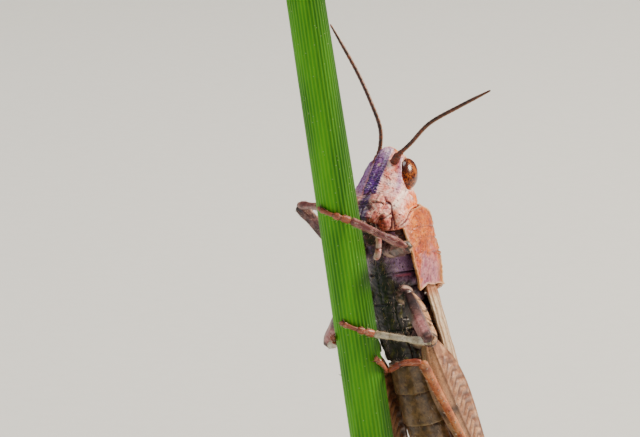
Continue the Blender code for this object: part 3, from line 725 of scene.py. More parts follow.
lipLook = {
    "tones": ("#7a363c", "#c6827a", "#f8d0c2"), "blotch": 0.22, "rich": 1.22, "bright": 1.18,
    "grain": (0.06, 0.22), "speck": (0.10, 0.55, 0.8, "#3c0f22"), "pit": (0.08, 0.010),
    "rough": 0.46, "wax": 0.12, "glow": 0.05,
    "marks": (
        ("rim", "#5a2024", 0.8, "#9a4c3c"), ("sides", "#a85f5a", 0.5, "#dfa48e"), ("ridge", "#f0c9b4", 0.6),
        # the seam mark is partly painted shade where the plates meet the head
        ("shade", "#0c0416", 0.96, "#381a56"), ("blob", "#1c0612", 0.9), ("seam", "#34091a", 0.92),
    ),
}
# the chin plates under the mouth are painted near black: painted shade under the head
chinLook = {**lipLook, "tones": ("#120a0e", "#33181c", "#7c4a4c"), "marks": (("seam", "#080406", 0.9),)}
lipShell = chitin("hornyLipChitin", lipLook)
chinShell = chitin("darkChinChitin", chinLook)
lipShape = mouthPlate(mouthForm["lip"], 1, lipRelief)
lipPiece = addPiece("lipPlate", lipShape, lipShell, ["labrum"])
chinShape = mouthPlate(mouthForm["chin"], 1, chinRelief)
chinPiece = addPiece("chinPlates", chinShape, chinShell, ["chin"])
for word, side in sides.items():
    plate = mouthPlate(mouthForm["jaw"], side, jawRelief)
    addPiece(f"jaw{word.title()}", plate, lipShell, [f"mandible_{word}"])


def palpShape(side):
    # a tube pinched at each joint, its last joint a little swollen
    path, where = denseEnds(through(np.array(mouthForm["palp"]) * (1, side, 1), 160), 0.09)
    along = where / where[-1]
    ringed = np.max([bump(along - joint, 0.018) for joint in mouthForm["palpJoints"]], axis=0)
    radius = mouthForm["palpRadius"] * (0.92 + 0.16 * np.sin(np.pi * held((along - 0.62) / 0.38)))
    radius = radius * (1 - 0.38 * ringed) * roundEnds(where, 0.08, 0.12)
    pale = (np.sin(along * 26) > 0.2)[:, None] * 0.8
    return gridShape(sweep(path, radius, radius, (0, 1, 0), 20), joint=ringed[:, None], pale=pale)


palpShell = chitin("softPalpCuticle", {
    "tones": ("#a2514e", "#d98a80", "#f0c6b8"), "blotch": 0.3, "grain": (0.06, 0.15),
    "speck": (0.12, 0.35, 0.6, "#50151f"), "pit": (0.08, 0.008), "rough": 0.40, "wax": 0.3, "glow": 0.12,
    "marks": (("pale", "#f3dbd2", 0.6), ("joint", "#8e2f34", 0.8)),
})
for word, side in sides.items():
    addPiece(f"palp{word.title()}", palpShape(side), palpShell, [f"palp_{word}"])
print("mouth done")


# Collar shield

def trunkGrid(stations, x, count, close, above=1.9):
    # rings of two superellipse halves, power above over the waist line and 2.4 below, drawn in at the ends
    top, level, bottom, width = tableAt(stations[::-1], x)
    turn, close = around(count), close[:, None]
    rising = np.sin(turn) >= 0
    power = np.where(rising, above, 2.4)
    z = level + np.where(rising, top - level, level - bottom) * bow(np.sin(turn), power)
    middle = (top + bottom) / 2
    y = width * bow(np.cos(turn), power) * close
    return np.stack((x[:, None] + 0 * turn, y, middle + (z - middle) * close), -1)


def outwards(points):
    # the grid's own normals, turned away from its rings' middles
    across = np.roll(points, -1, axis=1) - np.roll(points, 1, axis=1)
    normal = unit(np.cross(np.gradient(points, axis=0), across))
    away = points - points.mean(axis=1, keepdims=True)
    return normal * np.sign((normal * away).sum(-1, keepdims=True) + 1e-9)


collarForm = {
    "front": -0.12, "lobeFront": 0.34, "cornerBack": 0.24, "rear": -4.40, "lobeRear": -3.15,
    "lobeBottom": -1.38, "level": -0.10, "backShare": 0.66, "wall": 0.16, "tuck": 0.26,
    # along, top, half width
    "arch": ((0, 1.76, 1.52), (0.2, 1.92, 1.62), (0.5, 1.86, 1.62), (0.75, 1.7, 1.56), (1, 1.46, 1.42)),
    "sulci": (0.26, 0.40, 0.60), "rows": 170, "columns": 230,
    "neck": (  # x, top, waist, bottom, half width
        (0.5, 1.05, 0, -1, 0.9), (0.05, 1.34, 0, -1.1, 1.2), (-0.35, 1.46, 0, -1.15, 1.36),
        (-1.15, 1.45, -0.1, -1.2, 1.32),
    ),
}


def collarShape():
    # an arched saddle: superellipse over the back, then flat side lobes, cut back towards their ends
    form = collarForm
    along = np.linspace(0, 1, form["rows"])[:, None]
    across = np.linspace(-1, 1, form["columns"])[None, :]
    side, share, level = np.abs(across), form["backShare"], form["level"]
    top, width = tableAt(form["arch"], along[:, 0])
    start = form["front"] + form["lobeFront"] * step(side, 0.35, 0.8)
    start = start - form["cornerBack"] * step(side, 0.8, 1)
    end = form["rear"] + (form["lobeRear"] - form["rear"]) * np.minimum(1, 1.25 * side) ** 1.2
    turn = np.minimum(side / share, 1) * np.pi / 2
    drop = np.maximum(side - share, 0) / (1 - share)
    y = width * bow(np.sin(turn), 2.7) - (0.06 + 0.10 * (1 - along)) * drop**1.5
    z = level + (top - level) * bow(np.cos(turn), 2.7) * (side < share) + (form["lobeBottom"] - level) * drop
    points = np.stack((start + along * (end - start), -np.sign(across) * y, z), -1)
    normal = sheetNormal(points, -0.3)
    # two bent keels and a straight one, three furrows across, and a raised border
    keelPlace = 0.335 - 0.05 * bump(along - 0.38, 0.2) + 0.09 * step(along, 0.45, 1)
    keel, middle = bump((side - keelPlace) * 2.6, 0.065), bump(side * 2.6, 0.055)
    furrows = sum(bump(along - place - 0.05 * np.sin(side * 5), 0.010) for place in form["sulci"])
    groove = furrows * (1 - bump(side, 0.02)) * step(side, 0, 0.1)
    last = bump(along - form["sulci"][-1], 0.010)
    edge = held(bump(along, 0.018) + bump(1 - along, 0.018) + bump(1 - side, 0.03))
    relief = (0.075 * keel + 0.065 * middle) * (1 - 0.9 * last) - 0.02 * last + 0.05 * edge
    relief += 0.020 * lumps(points, 0.9, 21) + 0.010 * lumps(points, 0.28, 22)
    relief -= (0.045 - 0.025 * step(side, 0.4, 0.6)) * groove
    relief -= form["tuck"] * np.maximum(0, 1 - along / 0.13) ** 2 * fade(side, 0.40, 0.60)
    points = points + normal * relief[..., None]
    lobe = step(side, 0.45, 0.62)
    lowRear = step(along + 0.08 * lumps(points, 0.5, 23), 0.40, 0.75)
    return sheetShape(points, normal, form["wall"], 0.16, {
        "keel": held(keel + 0.8 * middle), "edge": edge,
        "groove": held(groove + 0.8 * last) * (1 - 0.6 * lobe),
        "wedge": bump((side - keelPlace - 0.07) * 2.6, 0.16) * (1 - 0.4 * bump(along - 0.5, 0.1)),
        "lowFront": lobe * step(side, 0.75, 0.95) * fade(along, 0.1, 0.5),
        "lowRear": lobe * lowRear * fade(side + 0.03 * lumps(points, 0.4, 24), 0.86, 1),
        "rearTone": step(along, 0.62, 0.75) * (1 - lobe),
    })


collarShell = chitin("pittedCollarChitin", {
    "tones": ("#9c4020", "#cc6c3e", "#e49c70"), "blotch": 0.50, "rich": 1.24, "grain": (0.08, 0.22),
    "speck": (0.15, 0.50, 0.6, "#4c1c12"), "pit": (0.13, 0.018), "rough": 0.46, "wax": 0.2, "glow": 0.05,
    "marks": (
        ("rearTone", "#c88a58", 0.4), ("lowFront", "#c47c6c", 0.7, "#eebfae"),
        ("lowRear", "#8d6080", 0.75, "#c89aa8"),
        ("wedge", "#4a1f16", 0.55), ("keel", "#f2cfa6", 0.85), ("groove", "#5a2012", 0.75),
        ("edge", "#f4d3ac", 0.6),
    ),
})
addPiece("collarShield", collarShape(), collarShell, ["pronotum"])


def neckShape():
    # a soft folded sleeve from inside the head to inside the collar: folds 0.02 sin(2 pi x / 0.16)
    x = np.linspace(0.45, -1.1, 80)
    close = np.sqrt(held(1 - ((x + 0.325) / 0.7751) ** 24))
    points = trunkGrid(collarForm["neck"], x, 120, close, 2.7)
    folds = 0.02 * np.sin(2 * np.pi * x / 0.16) * close
    return gridShape(points + outwards(points) * folds[:, None, None])


neckSkin = chitin("softNeckMembrane", {
    "tones": ("#1c0e0e", "#40221e", "#7a4c40"), "blotch": 0.4, "grain": (0.06, 0.2),
    "speck": (0.12, 0.3, 0.4, "#2c1210"), "pit": (0.08, 0.006), "rough": 0.5, "glow": 0.1,
})
addPiece("neckSleeve", neckShape(), neckSkin, [])
print("collar done")


# Chest and hind body

trunkForm = {  # x, top, waist, bottom, half width
    "chest": (
        (-0.35, 0.9, -0.3, -1.3, 0.85), (-1, 1.02, -0.4, -1.75, 0.98), (-2.2, 0.92, -0.5, -2.1, 0.99),
        (-3.4, 0.6, -0.8, -2.35, 1), (-4.6, 0.5, -0.95, -2.4, 1.06), (-5.6, 0.46, -0.98, -2.3, 1.06),
        (-6.1, 0.48, -0.95, -2.2, 1.06),
    ),
    "hind": (
        (-6.22, 0.46, -0.95, -2.18, 1.06), (-9, 0.4, -0.95, -2.18, 1.08), (-12, 0.24, -0.88, -1.95, 1),
        (-15, 0.02, -0.76, -1.6, 0.84), (-17.3, -0.1, -0.66, -1.3, 0.62), (-18.6, -0.24, -0.62, -1.05, 0.4),
    ),
    "flankSeams": (-1.45, -2.28, -2.95, -3.70, -4.40, -5.15),
    "flankSwells": (-1.85, -2.62, -3.32, -4.05, -4.80),
    "breastSeams": (-2.0, -3.3, -4.5), "knob": (-2.75, 0.99, -1.02),
    "rings": (-6.2, -7.6, -9.1, -10.6, -12.1, -13.6, -15.0, -16.2, -17.2, -18.0, -18.7), "flare": 0.05,
}


def chestShape():
    # rings with slanting seams and swellings on the flanks, and the breastplates' seams below
    where, close = domedRows(5.75, 0.12, 0.12, 260)
    points = trunkGrid(trunkForm["chest"], -0.35 - where, 240, close)
    normal = outwards(points)
    x, y, z = points[..., 0], np.abs(points[..., 1]), points[..., 2]
    flank = step(y, 0.55, 0.8) * (z < 0.3)
    slant = x + 0.35 * (z + 1.2)
    seam = held(sum(bump(slant - place, 0.035) * flank for place in trunkForm["flankSeams"]))
    swell = sum(bump(slant - place, 0.22) * flank for place in trunkForm["flankSwells"])
    # the underside mask paints the breast near black: painted shade under the chest
    under = step(-z, 1.75, 2.05)
    breast = bump(y, 0.035) * 0.6 + bump(y - 0.55 - 0.1 * np.sin(x * 2), 0.04)
    breast = held(under * (breast + sum(bump(x - place, 0.035) for place in trunkForm["breastSeams"])))
    knob = bump(np.linalg.norm(np.stack((x, y, z), -1) - trunkForm["knob"], axis=-1), 0.14)
    relief = 0.05 * swell - 0.07 * seam - 0.05 * breast + 0.10 * knob
    relief += 0.014 * lumps(points, 0.5, 31) + 0.008 * lumps(points, 0.2, 32)
    lavender = flank * step(slant, -2.55, -2.25) * step(-z, 0.5, 0.8)
    redLine = flank * bump(slant + 2.42, 0.05) * step(-z, 0.9, 1.1)
    points = points + normal * (relief * close[:, None])[..., None]
    return gridShape(
        points, seam=seam, breast=under, breastSeam=breast, knob=knob, lavender=lavender, redLine=redLine,
        # dark is painted shade on the flank behind the mid hip, between the thigh and the chest
        dark=held(flank * fade(slant, -2.9, -2.6)), olive=under * step(lumps(points, 0.42, 33), 0.55, 0.9),
    )


def hindShape():
    # the same rings in ten overlapping plates, each flaring towards its hind edge
    stations, rings = trunkForm["hind"], np.array(trunkForm["rings"])
    where, close = domedRows(12.5, 0.1, 0.3, 400, 14)
    x = rings[0] - where
    points = trunkGrid(stations, np.clip(x, stations[-1][0], stations[0][0]), 150, close)
    points[..., 0] = x[:, None]
    normal, rise = outwards(points), np.sin(around(150))
    which = np.clip(np.searchsorted(-rings, -x) - 1, 0, len(rings) - 2)
    part = ((x - rings[which]) / (rings[which + 1] - rings[which]))[:, None]
    flare = trunkForm["flare"] * part**3 - 0.05 * bump(part, 0.05)
    fold = bump(rise + 0.30, 0.09)  # the soft fold between back plates and belly plates
    relief = flare * (1 - 0.5 * fold) - 0.10 * fold + 0.010 * lumps(points, 0.45, 41)
    points = points + normal * (relief * close[:, None])[..., None]
    band = bump(part - 0.10, 0.10) * (0.6 + 0.4 * lumps(points, 0.3, 42))
    blotch = step(rise, -0.15, 0.1) * bump(part - 0.25, 0.28) * fade(rise, 0.45, 0.8)
    edge, belly = bump(1 - part, 0.035), fade(rise, -0.6, -0.4)
    return gridShape(points, edge=held(edge), fold=fold, band=held(band), dark=held(blotch), belly=belly)


trunkShell = chitin("mottledTrunkChitin", {
    "tones": ("#3b2230", "#7d5878", "#b394b4"), "blotch": 0.40, "grain": (0.07, 0.25),
    "speck": (0.12, 0.5, 0.8, "#170b14"), "pit": (0.10, 0.012), "rough": 0.42, "wax": 0.25, "glow": 0.04,
    "marks": (
        # the dark mark is painted shade on the rear of the flank
        ("lavender", "#b58fc0", 0.65), ("dark", "#120a10", 0.9, "#3a2430"),
        # the breast mark is painted shade, near black over the underside
        ("breast", "#0a0806", 0.96, "#1c180c"), ("olive", "#3a380e", 0.7, "#6a6618"),
        ("knob", "#c39ac6", 0.8), ("seam", "#1a0a12", 0.85),
        ("breastSeam", "#070604", 0.8), ("redLine", "#c9607a", 0.8),
    ),
})
hindShell = chitin("bandedHindBodyChitin", {
    "tones": ("#7a4a26", "#b0764a", "#d6a878"), "blotch": 0.6, "grain": (0.09, 0.2),
    "speck": (0.13, 0.42, 0.45, "#4c2a16"), "pit": (0.12, 0.008), "rough": 0.40, "wax": 0.3, "glow": 0.06,
    "marks": (
        ("belly", "#5c4628", 0.85, "#94744a"), ("band", "#2c1c10", 0.7), ("dark", "#2a140f", 0.85),
        ("fold", "#6a4c3a", 0.6), ("edge", "#d0ac7c", 0.65),
    ),
})
chestPiece = addPiece("chestShell", chestShape(), trunkShell, ["thorax"])
hindPiece = addPiece("hindBody", hindShape(), hindShell, ["abdomen"])

tailForm = {
    "along": (0, 0.3, 0.6, 0.8, 1),
    "wide": (0.22, 0.26, 0.17, 0.12, 0.035), "tall": (0.18, 0.21, 0.16, 0.10, 0.03),
}


def tailBlade(side):
    # a tapering hooked blade: z = -0.62 + side * rise, where rise ends in 0.34 t^2 and turns the tip outwards
    x = np.linspace(-18.35, -19.98, 90)
    rise = 0.26 + 0.06 * step(x, -18.4, -18.9) + 0.34 * held((-18.95 - x) / 1.03) ** 2
    path, where = denseEnds(np.stack((x, 0 * x, -0.62 + side * rise), -1), 0.08)
    along = where / where[-1]
    wide, tall = (np.interp(along, tailForm["along"], tailForm[name]) for name in ("wide", "tall"))
    ends = roundEnds(where, 0.06, 0.03)
    rings = sweep(path, wide * ends, tall * ends, (0, 0, 1), 26)
    return gridShape(rings, edge=step(along, 0.55, 0.9)[:, None], dark=bump(along - 0.3, 0.1)[:, None])


for word, side in (("Upper", 1), ("Lower", -1)):
    addPiece(f"tailBlade{word}", tailBlade(side), hindShell, [f"ovipositor_{word.lower()}"])
print("trunk done")


# Wings

wingForm = {
    "root": -4.50, "tip": -17.8, "seam": {1: -0.24, -1: 0.02}, "lift": {1: 0.13, -1: 0}, "curl": 0.16,
    "wall": 0.22, "rows": 420, "columns": 96,
    # along, top, low edge, half width
    "arch": (
        (0, 1.36, -0.42, 1.48), (0.3, 1.3, -0.4, 1.5), (0.65, 1.12, -0.3, 1.36), (0.9, 0.94, -0.16, 1.1),
        (1, 0.86, -0.08, 0.92),
    ),
    "veins": (  # place down the wing at its root and at its tip
        (0.05, 0.04), (0.16, 0.10), (0.30, 0.22), (0.42, 0.36), (0.50, 0.47), (0.60, 0.60), (0.72, 0.74),
        (0.83, 0.86), (0.93, 0.95),
    ),
    "folded": (
        (-4.3, 0.95, 0.3, -0.3, 0.95), (-6.5, 1.05, 0.25, -0.45, 1.28), (-9.5, 0.98, 0.22, -0.4, 1.24),
        (-13, 0.82, 0.2, -0.3, 1.05), (-15.8, 0.66, 0.22, -0.1, 0.8), (-17, 0.58, 0.25, 0.05, 0.5),
    ),
    "pleats": 46,
}


def wingShape(side):
    # half of a long roof: a superellipse quarter from the seam down to the edge, cut round at the tip
    form = wingForm
    along = np.linspace(0, 1, form["rows"])[:, None]
    down = np.linspace(0, 1, form["columns"])[None, :]
    root = form["root"] + 1.25 * np.minimum(1, 1.1 * down) ** 1.2
    x = root + along * (form["tip"] + 2.4 * down**2 - root)
    top, low, width = tableAt(form["arch"], along[:, 0])
    turn, seam = down * np.pi / 2, form["seam"][side]
    curl = form["curl"] * down**6
    y = seam + (width - seam) * bow(np.sin(turn), 1.8) - curl
    z = low + (top - low) * bow(np.cos(turn), 1.8) + form["lift"][side] * fade(down, 0, 0.45) - curl
    points = np.stack((x, side * y, z), -1)
    across = np.cumsum(np.linalg.norm(np.diff(points, axis=1, prepend=points[:, :1]), axis=-1), axis=1)
    normal = sheetNormal(points, -0.5)
    vein = np.zeros_like(across)
    for start, end in form["veins"]:
        line = start + (end - start) * along**0.8 + 0.012 * np.sin(along * 9 + start * 20)
        vein = np.maximum(vein, bump((down - line) * across[:, -1:], 0.055))
    rim = held(bump(across, 0.05) + bump(across[:, -1:] - across, 0.06) + bump((1 - along) * 13, 0.05))
    relief = 0.045 * vein + 0.03 * rim + 0.012 * lumps(points, 0.8, 51)
    shape = sheetShape(points + normal * relief[..., None], normal, form["wall"], 0.20, {
        "vein": vein, "frontBand": fade(along, 0.24, 0.34) * step(down, 0.30, 0.55),
        "root": fade(along, 0.02, 0.06), "backBand": fade(down, 0.20, 0.40),
        "spot": held(bump(along - 0.62, 0.02) * bump(down - 0.5, 0.16)),
    })
    flat = np.stack((-x, across * side, 0 * across), -1).reshape(-1, 3)
    return {**shape, "place": np.tile(flat, (2, 1))}


def wingMaterial():
    # Leathery forewing: a horny net of veins holding thin clouded panes, with a dry satin sheen
    material, shader, add = newMaterial("veinedForewingMembrane")
    place = add("Attribute", {}, "Vector", attribute_name="place")
    # cells of the net about 0.30 mm long and 0.14 mm wide
    stretched = add("VectorMath", {0: place, 1: (1 / 0.30, 1 / 0.14, 1)}, operation="MULTIPLY")
    cells = {"Vector": stretched, "Scale": 1, "Randomness": 0.85}
    net = add("TexVoronoi", cells, "Distance", feature="DISTANCE_TO_EDGE")
    thread = add("MapRange", {"Value": net, "From Min": 0.11, "From Max": 0.04})
    cloud = add("TexNoise", {"Vector": place, "Scale": 1 / 1.3, "Detail": 5, "Roughness": 0.6})
    speckle = add("TexNoise", {"Vector": stretched, "Scale": 0.55, "Detail": 2})
    panes = (cloud, 0.42, 0.62, "#cf9a68"), (speckle, 0.60, 0.66, "#4a2a18", 0.8)
    colour = washed(add, linear("#96552c"), *panes)
    colour = masked(
        add, colour, ("frontBand", "#efdcbc", 0.85), ("backBand", "#b07a48", 0.35), ("root", "#b5531f", 0.8),
        ("spot", "#f2e0c0", 0.9), (thread, "#b98654", 0.45), ("vein", "#9a6236", 0.75),
    )
    grain = add("TexNoise", {"Vector": place, "Scale": 12, "Detail": 3})
    height = add("Math", {0: grain, 1: 0.25, 2: thread}, operation="MULTIPLY_ADD")
    wire(shader, {
        "Base Color": colour, "Normal": add("Bump", {"Height": height, "Strength": 1, "Distance": 0.000015}),
        "Roughness": 0.48, "IOR": 1.55, "Coat Weight": 0.12, "Coat Roughness": 0.35,
    })
    return material


wingMembrane = wingMaterial()
for word, side in sides.items():
    addPiece(f"wing{word.title()}", wingShape(side), wingMembrane, [f"wing_{word}"])


def foldShape():
    # the hind wings folded like a fan under the forewings: a lens-shaped bundle with lengthwise pleats
    where, close = domedRows(12.7, 0.2, 0.3, 120, 12)
    turn, stations = around(322), wingForm["folded"]
    points = trunkGrid(stations, stations[0][0] - where, 322, close)
    dip = 1 - np.abs(np.sin(turn * wingForm["pleats"] / 2))
    points = points - outwards(points) * (0.05 * dip * close[:, None])[..., None]
    flat = np.stack((-points[..., 0], turn * 1.2 + 0 * points[..., 0], 0 * points[..., 0]), -1)
    return {**gridShape(points, vein=dip * 0.6), "place": flat.reshape(-1, 3)}


addPiece("foldedHindWings", foldShape(), wingMembrane, [])
print("wings done")


# Stem

stemLow, stemHigh = np.array(stemForm["low"]), np.array(stemForm["high"])


def stemShare(height):  # 0 at the stem's foot, 1 at its cut top
    return (np.asarray(height, float) - stemLow[2]) / (stemHigh[2] - stemLow[2])


def stemAxis(height):
    return stemLow + stemShare(height)[..., None] * (stemHigh - stemLow)


def stemRadius(height):
    return stemForm["radius"] - stemForm["taper"] * held(stemShare(height)) ** 2


def stemShape():
    # a ribbed tapering stalk: r (1 + a |cos(n turn / 2)|), closed by flat caps at both cut ends
    low, high, rows, cap = stemLow[2], stemHigh[2], stemForm["rows"], stemForm["cap"]
    length = np.linspace(low + 0.02, high - 0.02, rows)
    height = np.concatenate((np.full(cap, low), length, np.full(cap, high)))[:, None]
    close = np.concatenate((np.linspace(0, 0.96, cap), np.ones(rows), np.linspace(0.96, 0, cap)))[:, None]
    axis = unit(stemHigh - stemLow)
    side = unit(np.cross(axis, (0, 1, 0)))
    turn = around(stemForm["columns"])
    rib = np.abs(np.cos(stemForm["ribs"] * turn / 2 + 0.25 * np.sin(height * 0.35)))
    radius = stemRadius(height) * (0.98 + 0.024 * rib) + 0.012 * np.sin(3 * turn + height * 0.2)
    ways = np.stack((np.cos(turn), np.sin(turn)), -1) @ np.array((side, np.cross(side, axis)))
    points = stemAxis(height) + (radius * close)[..., None] * ways
    return gridShape(points, rib=rib, cut=fade(close, 0.955, 0.99), shade=held(-np.cos(turn)))


def stemMaterial():
    # Live stalk: a waxy green skin with pale lengthwise ribs, dark on its shaded side, and small pale pores
    material, shader, add = newMaterial("ribbedGreenStalk")
    place = add("Attribute", {}, "Vector", attribute_name="place")
    rib, cut = (add("Attribute", {}, "Fac", attribute_name=mask) for mask in ("rib", "cut"))
    drawn = add("VectorMath", {0: place, 1: (1, 1, 0.12)}, operation="MULTIPLY")
    cloud = add("TexNoise", {"Vector": drawn, "Scale": 1.4, "Detail": 4})
    pores = add("TexVoronoi", {"Vector": place, "Scale": 1 / 0.28}, "Distance")
    colour = washed(add, linear("#267800"), (cloud, 0.35, 0.65, "#54ae00"), (rib, 0.60, 1, "#84c804", 0.5))
    colour = masked(add, colour, ("shade", "#123c04", 0.75))
    colour = washed(add, colour, (pores, 0.12, 0.04, "#e6e6b4", 0.3))
    colour = add("Mix", {0: cut, 6: colour, 7: linear("#dfe2a8")}, 2, data_type="RGBA")
    fibre = add("VectorMath", {0: place, 1: (14, 14, 0.8)}, operation="MULTIPLY")
    strands = add("TexNoise", {"Vector": fibre, "Scale": 1, "Detail": 3})
    wire(shader, {
        "Base Color": colour,
        "Normal": add("Bump", {"Height": strands, "Strength": 0.8, "Distance": 0.00003}),
        "Roughness": 0.50, "Specular IOR Level": 0.25, "Subsurface Weight": 0.06,
        "Subsurface Radius": (0.0003, 0.0005, 0.0001),
    })
    return material


addPiece("perchStalk", stemShape(), stemMaterial(), ["perch"], onInsect=False)
print("stem done")


# Legs

legJoints = ("coxa", "hip", "knee", "ankle", "foot", "toe")
legRows = {  # joints in order; foot and toe are a height on the stem and a turn round it, None an ankle there
    ("fore", "left"): (
        (-0.95, 0.78, -1.75), (-0.85, 1.25, -2.3), (0.18, 3.32, -4.75), None, (26.5, 30), (26.95, -42),
    ),
    ("fore", "right"): (
        (-0.95, -0.78, -1.75), (-0.8, -1.25, -2.1), (1.36, -3.18, -1.55), None, (26.7, 206), (27.1, 130),
    ),
    ("mid", "left"): (
        (-3, 0.95, -2.05), (-2.9, 1.45, -2.45), (-4.02, 3.48, -5.25), None, (21.45, 48), (21.95, -26),
    ),
    ("mid", "right"): (
        (-3, -0.95, -2.05), (-2.95, -1.45, -2.35), (-5.2, -3.6, -1.6), None, (20.6, 215), (21.2, 290),
    ),
    ("hind", "left"): (
        (-5.05, 1, -1.8), (-5.2, 1.6, -2.2), (-15.4, 2.12, -0.4), (-5.5, 1.9, -3.7), (19.6, 86), (20.3, 45),
    ),
    ("hind", "right"): (
        (-5.05, -1, -1.8), (-5.2, -1.6, -2.2), (-15.4, -2.12, -0.4), (-5.5, -1.9, -3.7), (18.9, 205),
        (17.9, 230),
    ),
}
legForm = {place: dict(zip(legJoints, row)) for place, row in legRows.items()}
legSize = {  # radii along each length; the jumping thigh's are half heights and half widths
    "coxa": {
        "fore": (0.34, 0.40, 0.35, 0.28, 0.24, 0.22, 0.18), "mid": (0.38, 0.44, 0.38, 0.31, 0.27, 0.24, 0.19),
        "hind": (0.46, 0.54, 0.46, 0.36, 0.32, 0.28, 0.22),
    },
    "thigh": {
        "fore": (0.18, 0.26, 0.31, 0.31, 0.28, 0.25, 0.27, 0.22),
        "mid": (0.22, 0.32, 0.38, 0.39, 0.37, 0.35, 0.35, 0.28),
    },
    "shin": {
        "fore": (0.10, 0.19, 0.15, 0.155, 0.165, 0.18), "mid": (0.10, 0.18, 0.125, 0.13, 0.14, 0.16),
        "hind": (0.12, 0.22, 0.16, 0.17, 0.18, 0.22),
    },
    "foot": (
        (0, 0.12), (0.08, 0.17), (0.26, 0.15), (0.34, 0.1), (0.4, 0.15), (0.52, 0.14), (0.58, 0.085),
        (0.66, 0.085), (0.86, 0.1), (0.95, 0.14), (1, 0.07),
    ),
    "jumpHeights": (0.34, 0.92, 1.12, 1.05, 0.84, 0.60, 0.43, 0.40, 0.50, 0.42),
    "jumpWidths": (0.30, 0.54, 0.60, 0.54, 0.44, 0.34, 0.28, 0.27, 0.31, 0.27),
    "kneeReach": 0.45, "footThick": 0.15,
}


def standPoint(height, turn):  # beside the stem, turned from the viewer's side, in the insect's frame
    turn = np.radians(turn)
    out = stemRadius(height) + legSize["footThick"]
    return toInsect(stemAxis(height) + out[..., None] * np.stack((np.sin(turn), -np.cos(turn), 0 * turn), -1))


def footRoute(leg):
    (low, start), (high, stop) = leg["foot"], leg["toe"]
    t = np.linspace(0, 1, 40)
    return standPoint(low + t * (high - low), start + t * (stop - start))


def ankleOf(leg):
    return np.array(leg["ankle"]) if leg["ankle"] else footRoute(leg)[0]


def smoothRadii(radii, along):
    # a table of evenly spaced radii made smooth with 60 rows, read along the length
    rows = through(np.stack((np.linspace(0, 1, len(radii)), radii), -1), 60)
    return np.interp(along, np.linspace(0, 1, 60), rows[:, 1])


def limbGrid(start, end, radii, count, corners, ridge, ridges):
    # a straight length with r (1 + ridge |cos(n turn / 2)|^4), domed at both ends
    start, end, turn = np.array(start), np.array(end), around(corners)
    path, where = denseEnds(start + np.linspace(0, 1, count)[:, None] * (end - start), 0.16)
    along = where / where[-1]
    radius = smoothRadii(radii, along) * roundEnds(where, 0.16, 0.16)
    radius = radius[:, None] * (1 + ridge * np.abs(np.cos(ridges * turn / 2)) ** 4)
    return sweep(path, radius, radius, (0, 0, 1), corners), along[:, None], turn[None, :]


def coxaShape(leg, pair):
    rings, along, turn = limbGrid(leg["coxa"], leg["hip"], legSize["coxa"][pair], 60, 44, 0.05, 4)
    pale = bump(along - 0.45, 0.16) * step(np.sin(turn * 2), -0.2, 0.5)
    return gridShape(rings, pale=pale, ringed=bump(along - 0.82, 0.05))


def thighShape(leg, pair):
    rings, along, turn = limbGrid(leg["hip"], leg["knee"], legSize["thigh"][pair], 150, 60, 0.10, 6)
    rise, isMid = np.sin(turn), pair == "mid"
    upper = step(rise, -0.15, 0.30)
    waves = np.sin(along * 34 + np.sin(along * 11) + 1.6 * lumps(rings, 0.55, 51))
    pink = step(along, 0.50, 0.62) * fade(along, 0.84, 0.92) * fade(rise, -0.4, 0)
    return gridShape(
        rings, upper=upper, bars=upper * step(waves, 0.35, 0.6) * step(along, 0.05, 0.15), pink=pink * isMid,
        # base is painted shade: the mid thigh is near black close to the hip, where it lies in the chest's
        # shadow
        base=fade(along, 0.25, 0.55) * isMid,
        ringed=held(bump(along - 0.93, 0.02) + bump(along - 0.04, 0.03)),
    )


def shinShape(leg, pair):
    rings, along, turn = limbGrid(leg["knee"], ankleOf(leg), legSize["shin"][pair], 150, 36, 0.06, 4)
    ringed = held(bump(along - 0.03, 0.02) + bump(along - 0.97, 0.02))
    return gridShape(rings, upper=step(np.sin(turn), 0.2, 0.8), ringed=ringed)


def footShape(leg):
    # a jointed tube round the stem, led in from the ankle where that stands off, with two claws and a pad
    route, ankle = footRoute(leg), ankleOf(leg)
    if leg["ankle"]:
        middle = (ankle + route[0]) / 2 + unit(ankle - np.array(leg["knee"])) * 0.2
        route = np.vstack((through((ankle, middle, route[0], route[8]), 60)[:40], route))
    path, where = denseEnds(pathAt(route, np.linspace(0, lengthAlong(route)[-1], 200)), 0.08)
    along = where / where[-1]
    place, radius = np.array(legSize["foot"]).T
    radius = np.interp(along, place, radius) * roundEnds(where, 0.08, 0.08)
    out = path - toInsect(stemAxis(toStand(path)[:, 2]))
    ringed = held(bump(along - 0.35, 0.02) + bump(along - 0.585, 0.02))
    pale = step(np.sin(around(30)), 0.2, 0.9)
    foot = gridShape(sweep(path, radius, radius * 0.9, out, 30), ringed=ringed[:, None], pale=pale)
    tip, way, out = path[-1], unit(path[-1] - path[-6]), unit(out[-1])
    spread = unit(np.cross(way, out))
    apart = spread * np.array((1, -1))[:, None]
    bend = np.tile(-out * 0.8, (2, 1))
    roots, ways = tip + apart * 0.05 - way * 0.03, way + apart * 0.7 + out * 0.2
    claws = bristles(roots, ways, np.full(2, 0.24), np.full(2, 0.045), bend, 8)
    claws["masks"] = {"ringed": np.full(len(claws["points"]), 0.7)}
    padAxes = np.array((way, spread, out * 0.5)) * 0.10
    pad = [gridShape(tip + way * 0.09 + ways @ padAxes, False, pale=1) for ways in cubeDirections(12)]
    return joined([foot, claws, *pad])


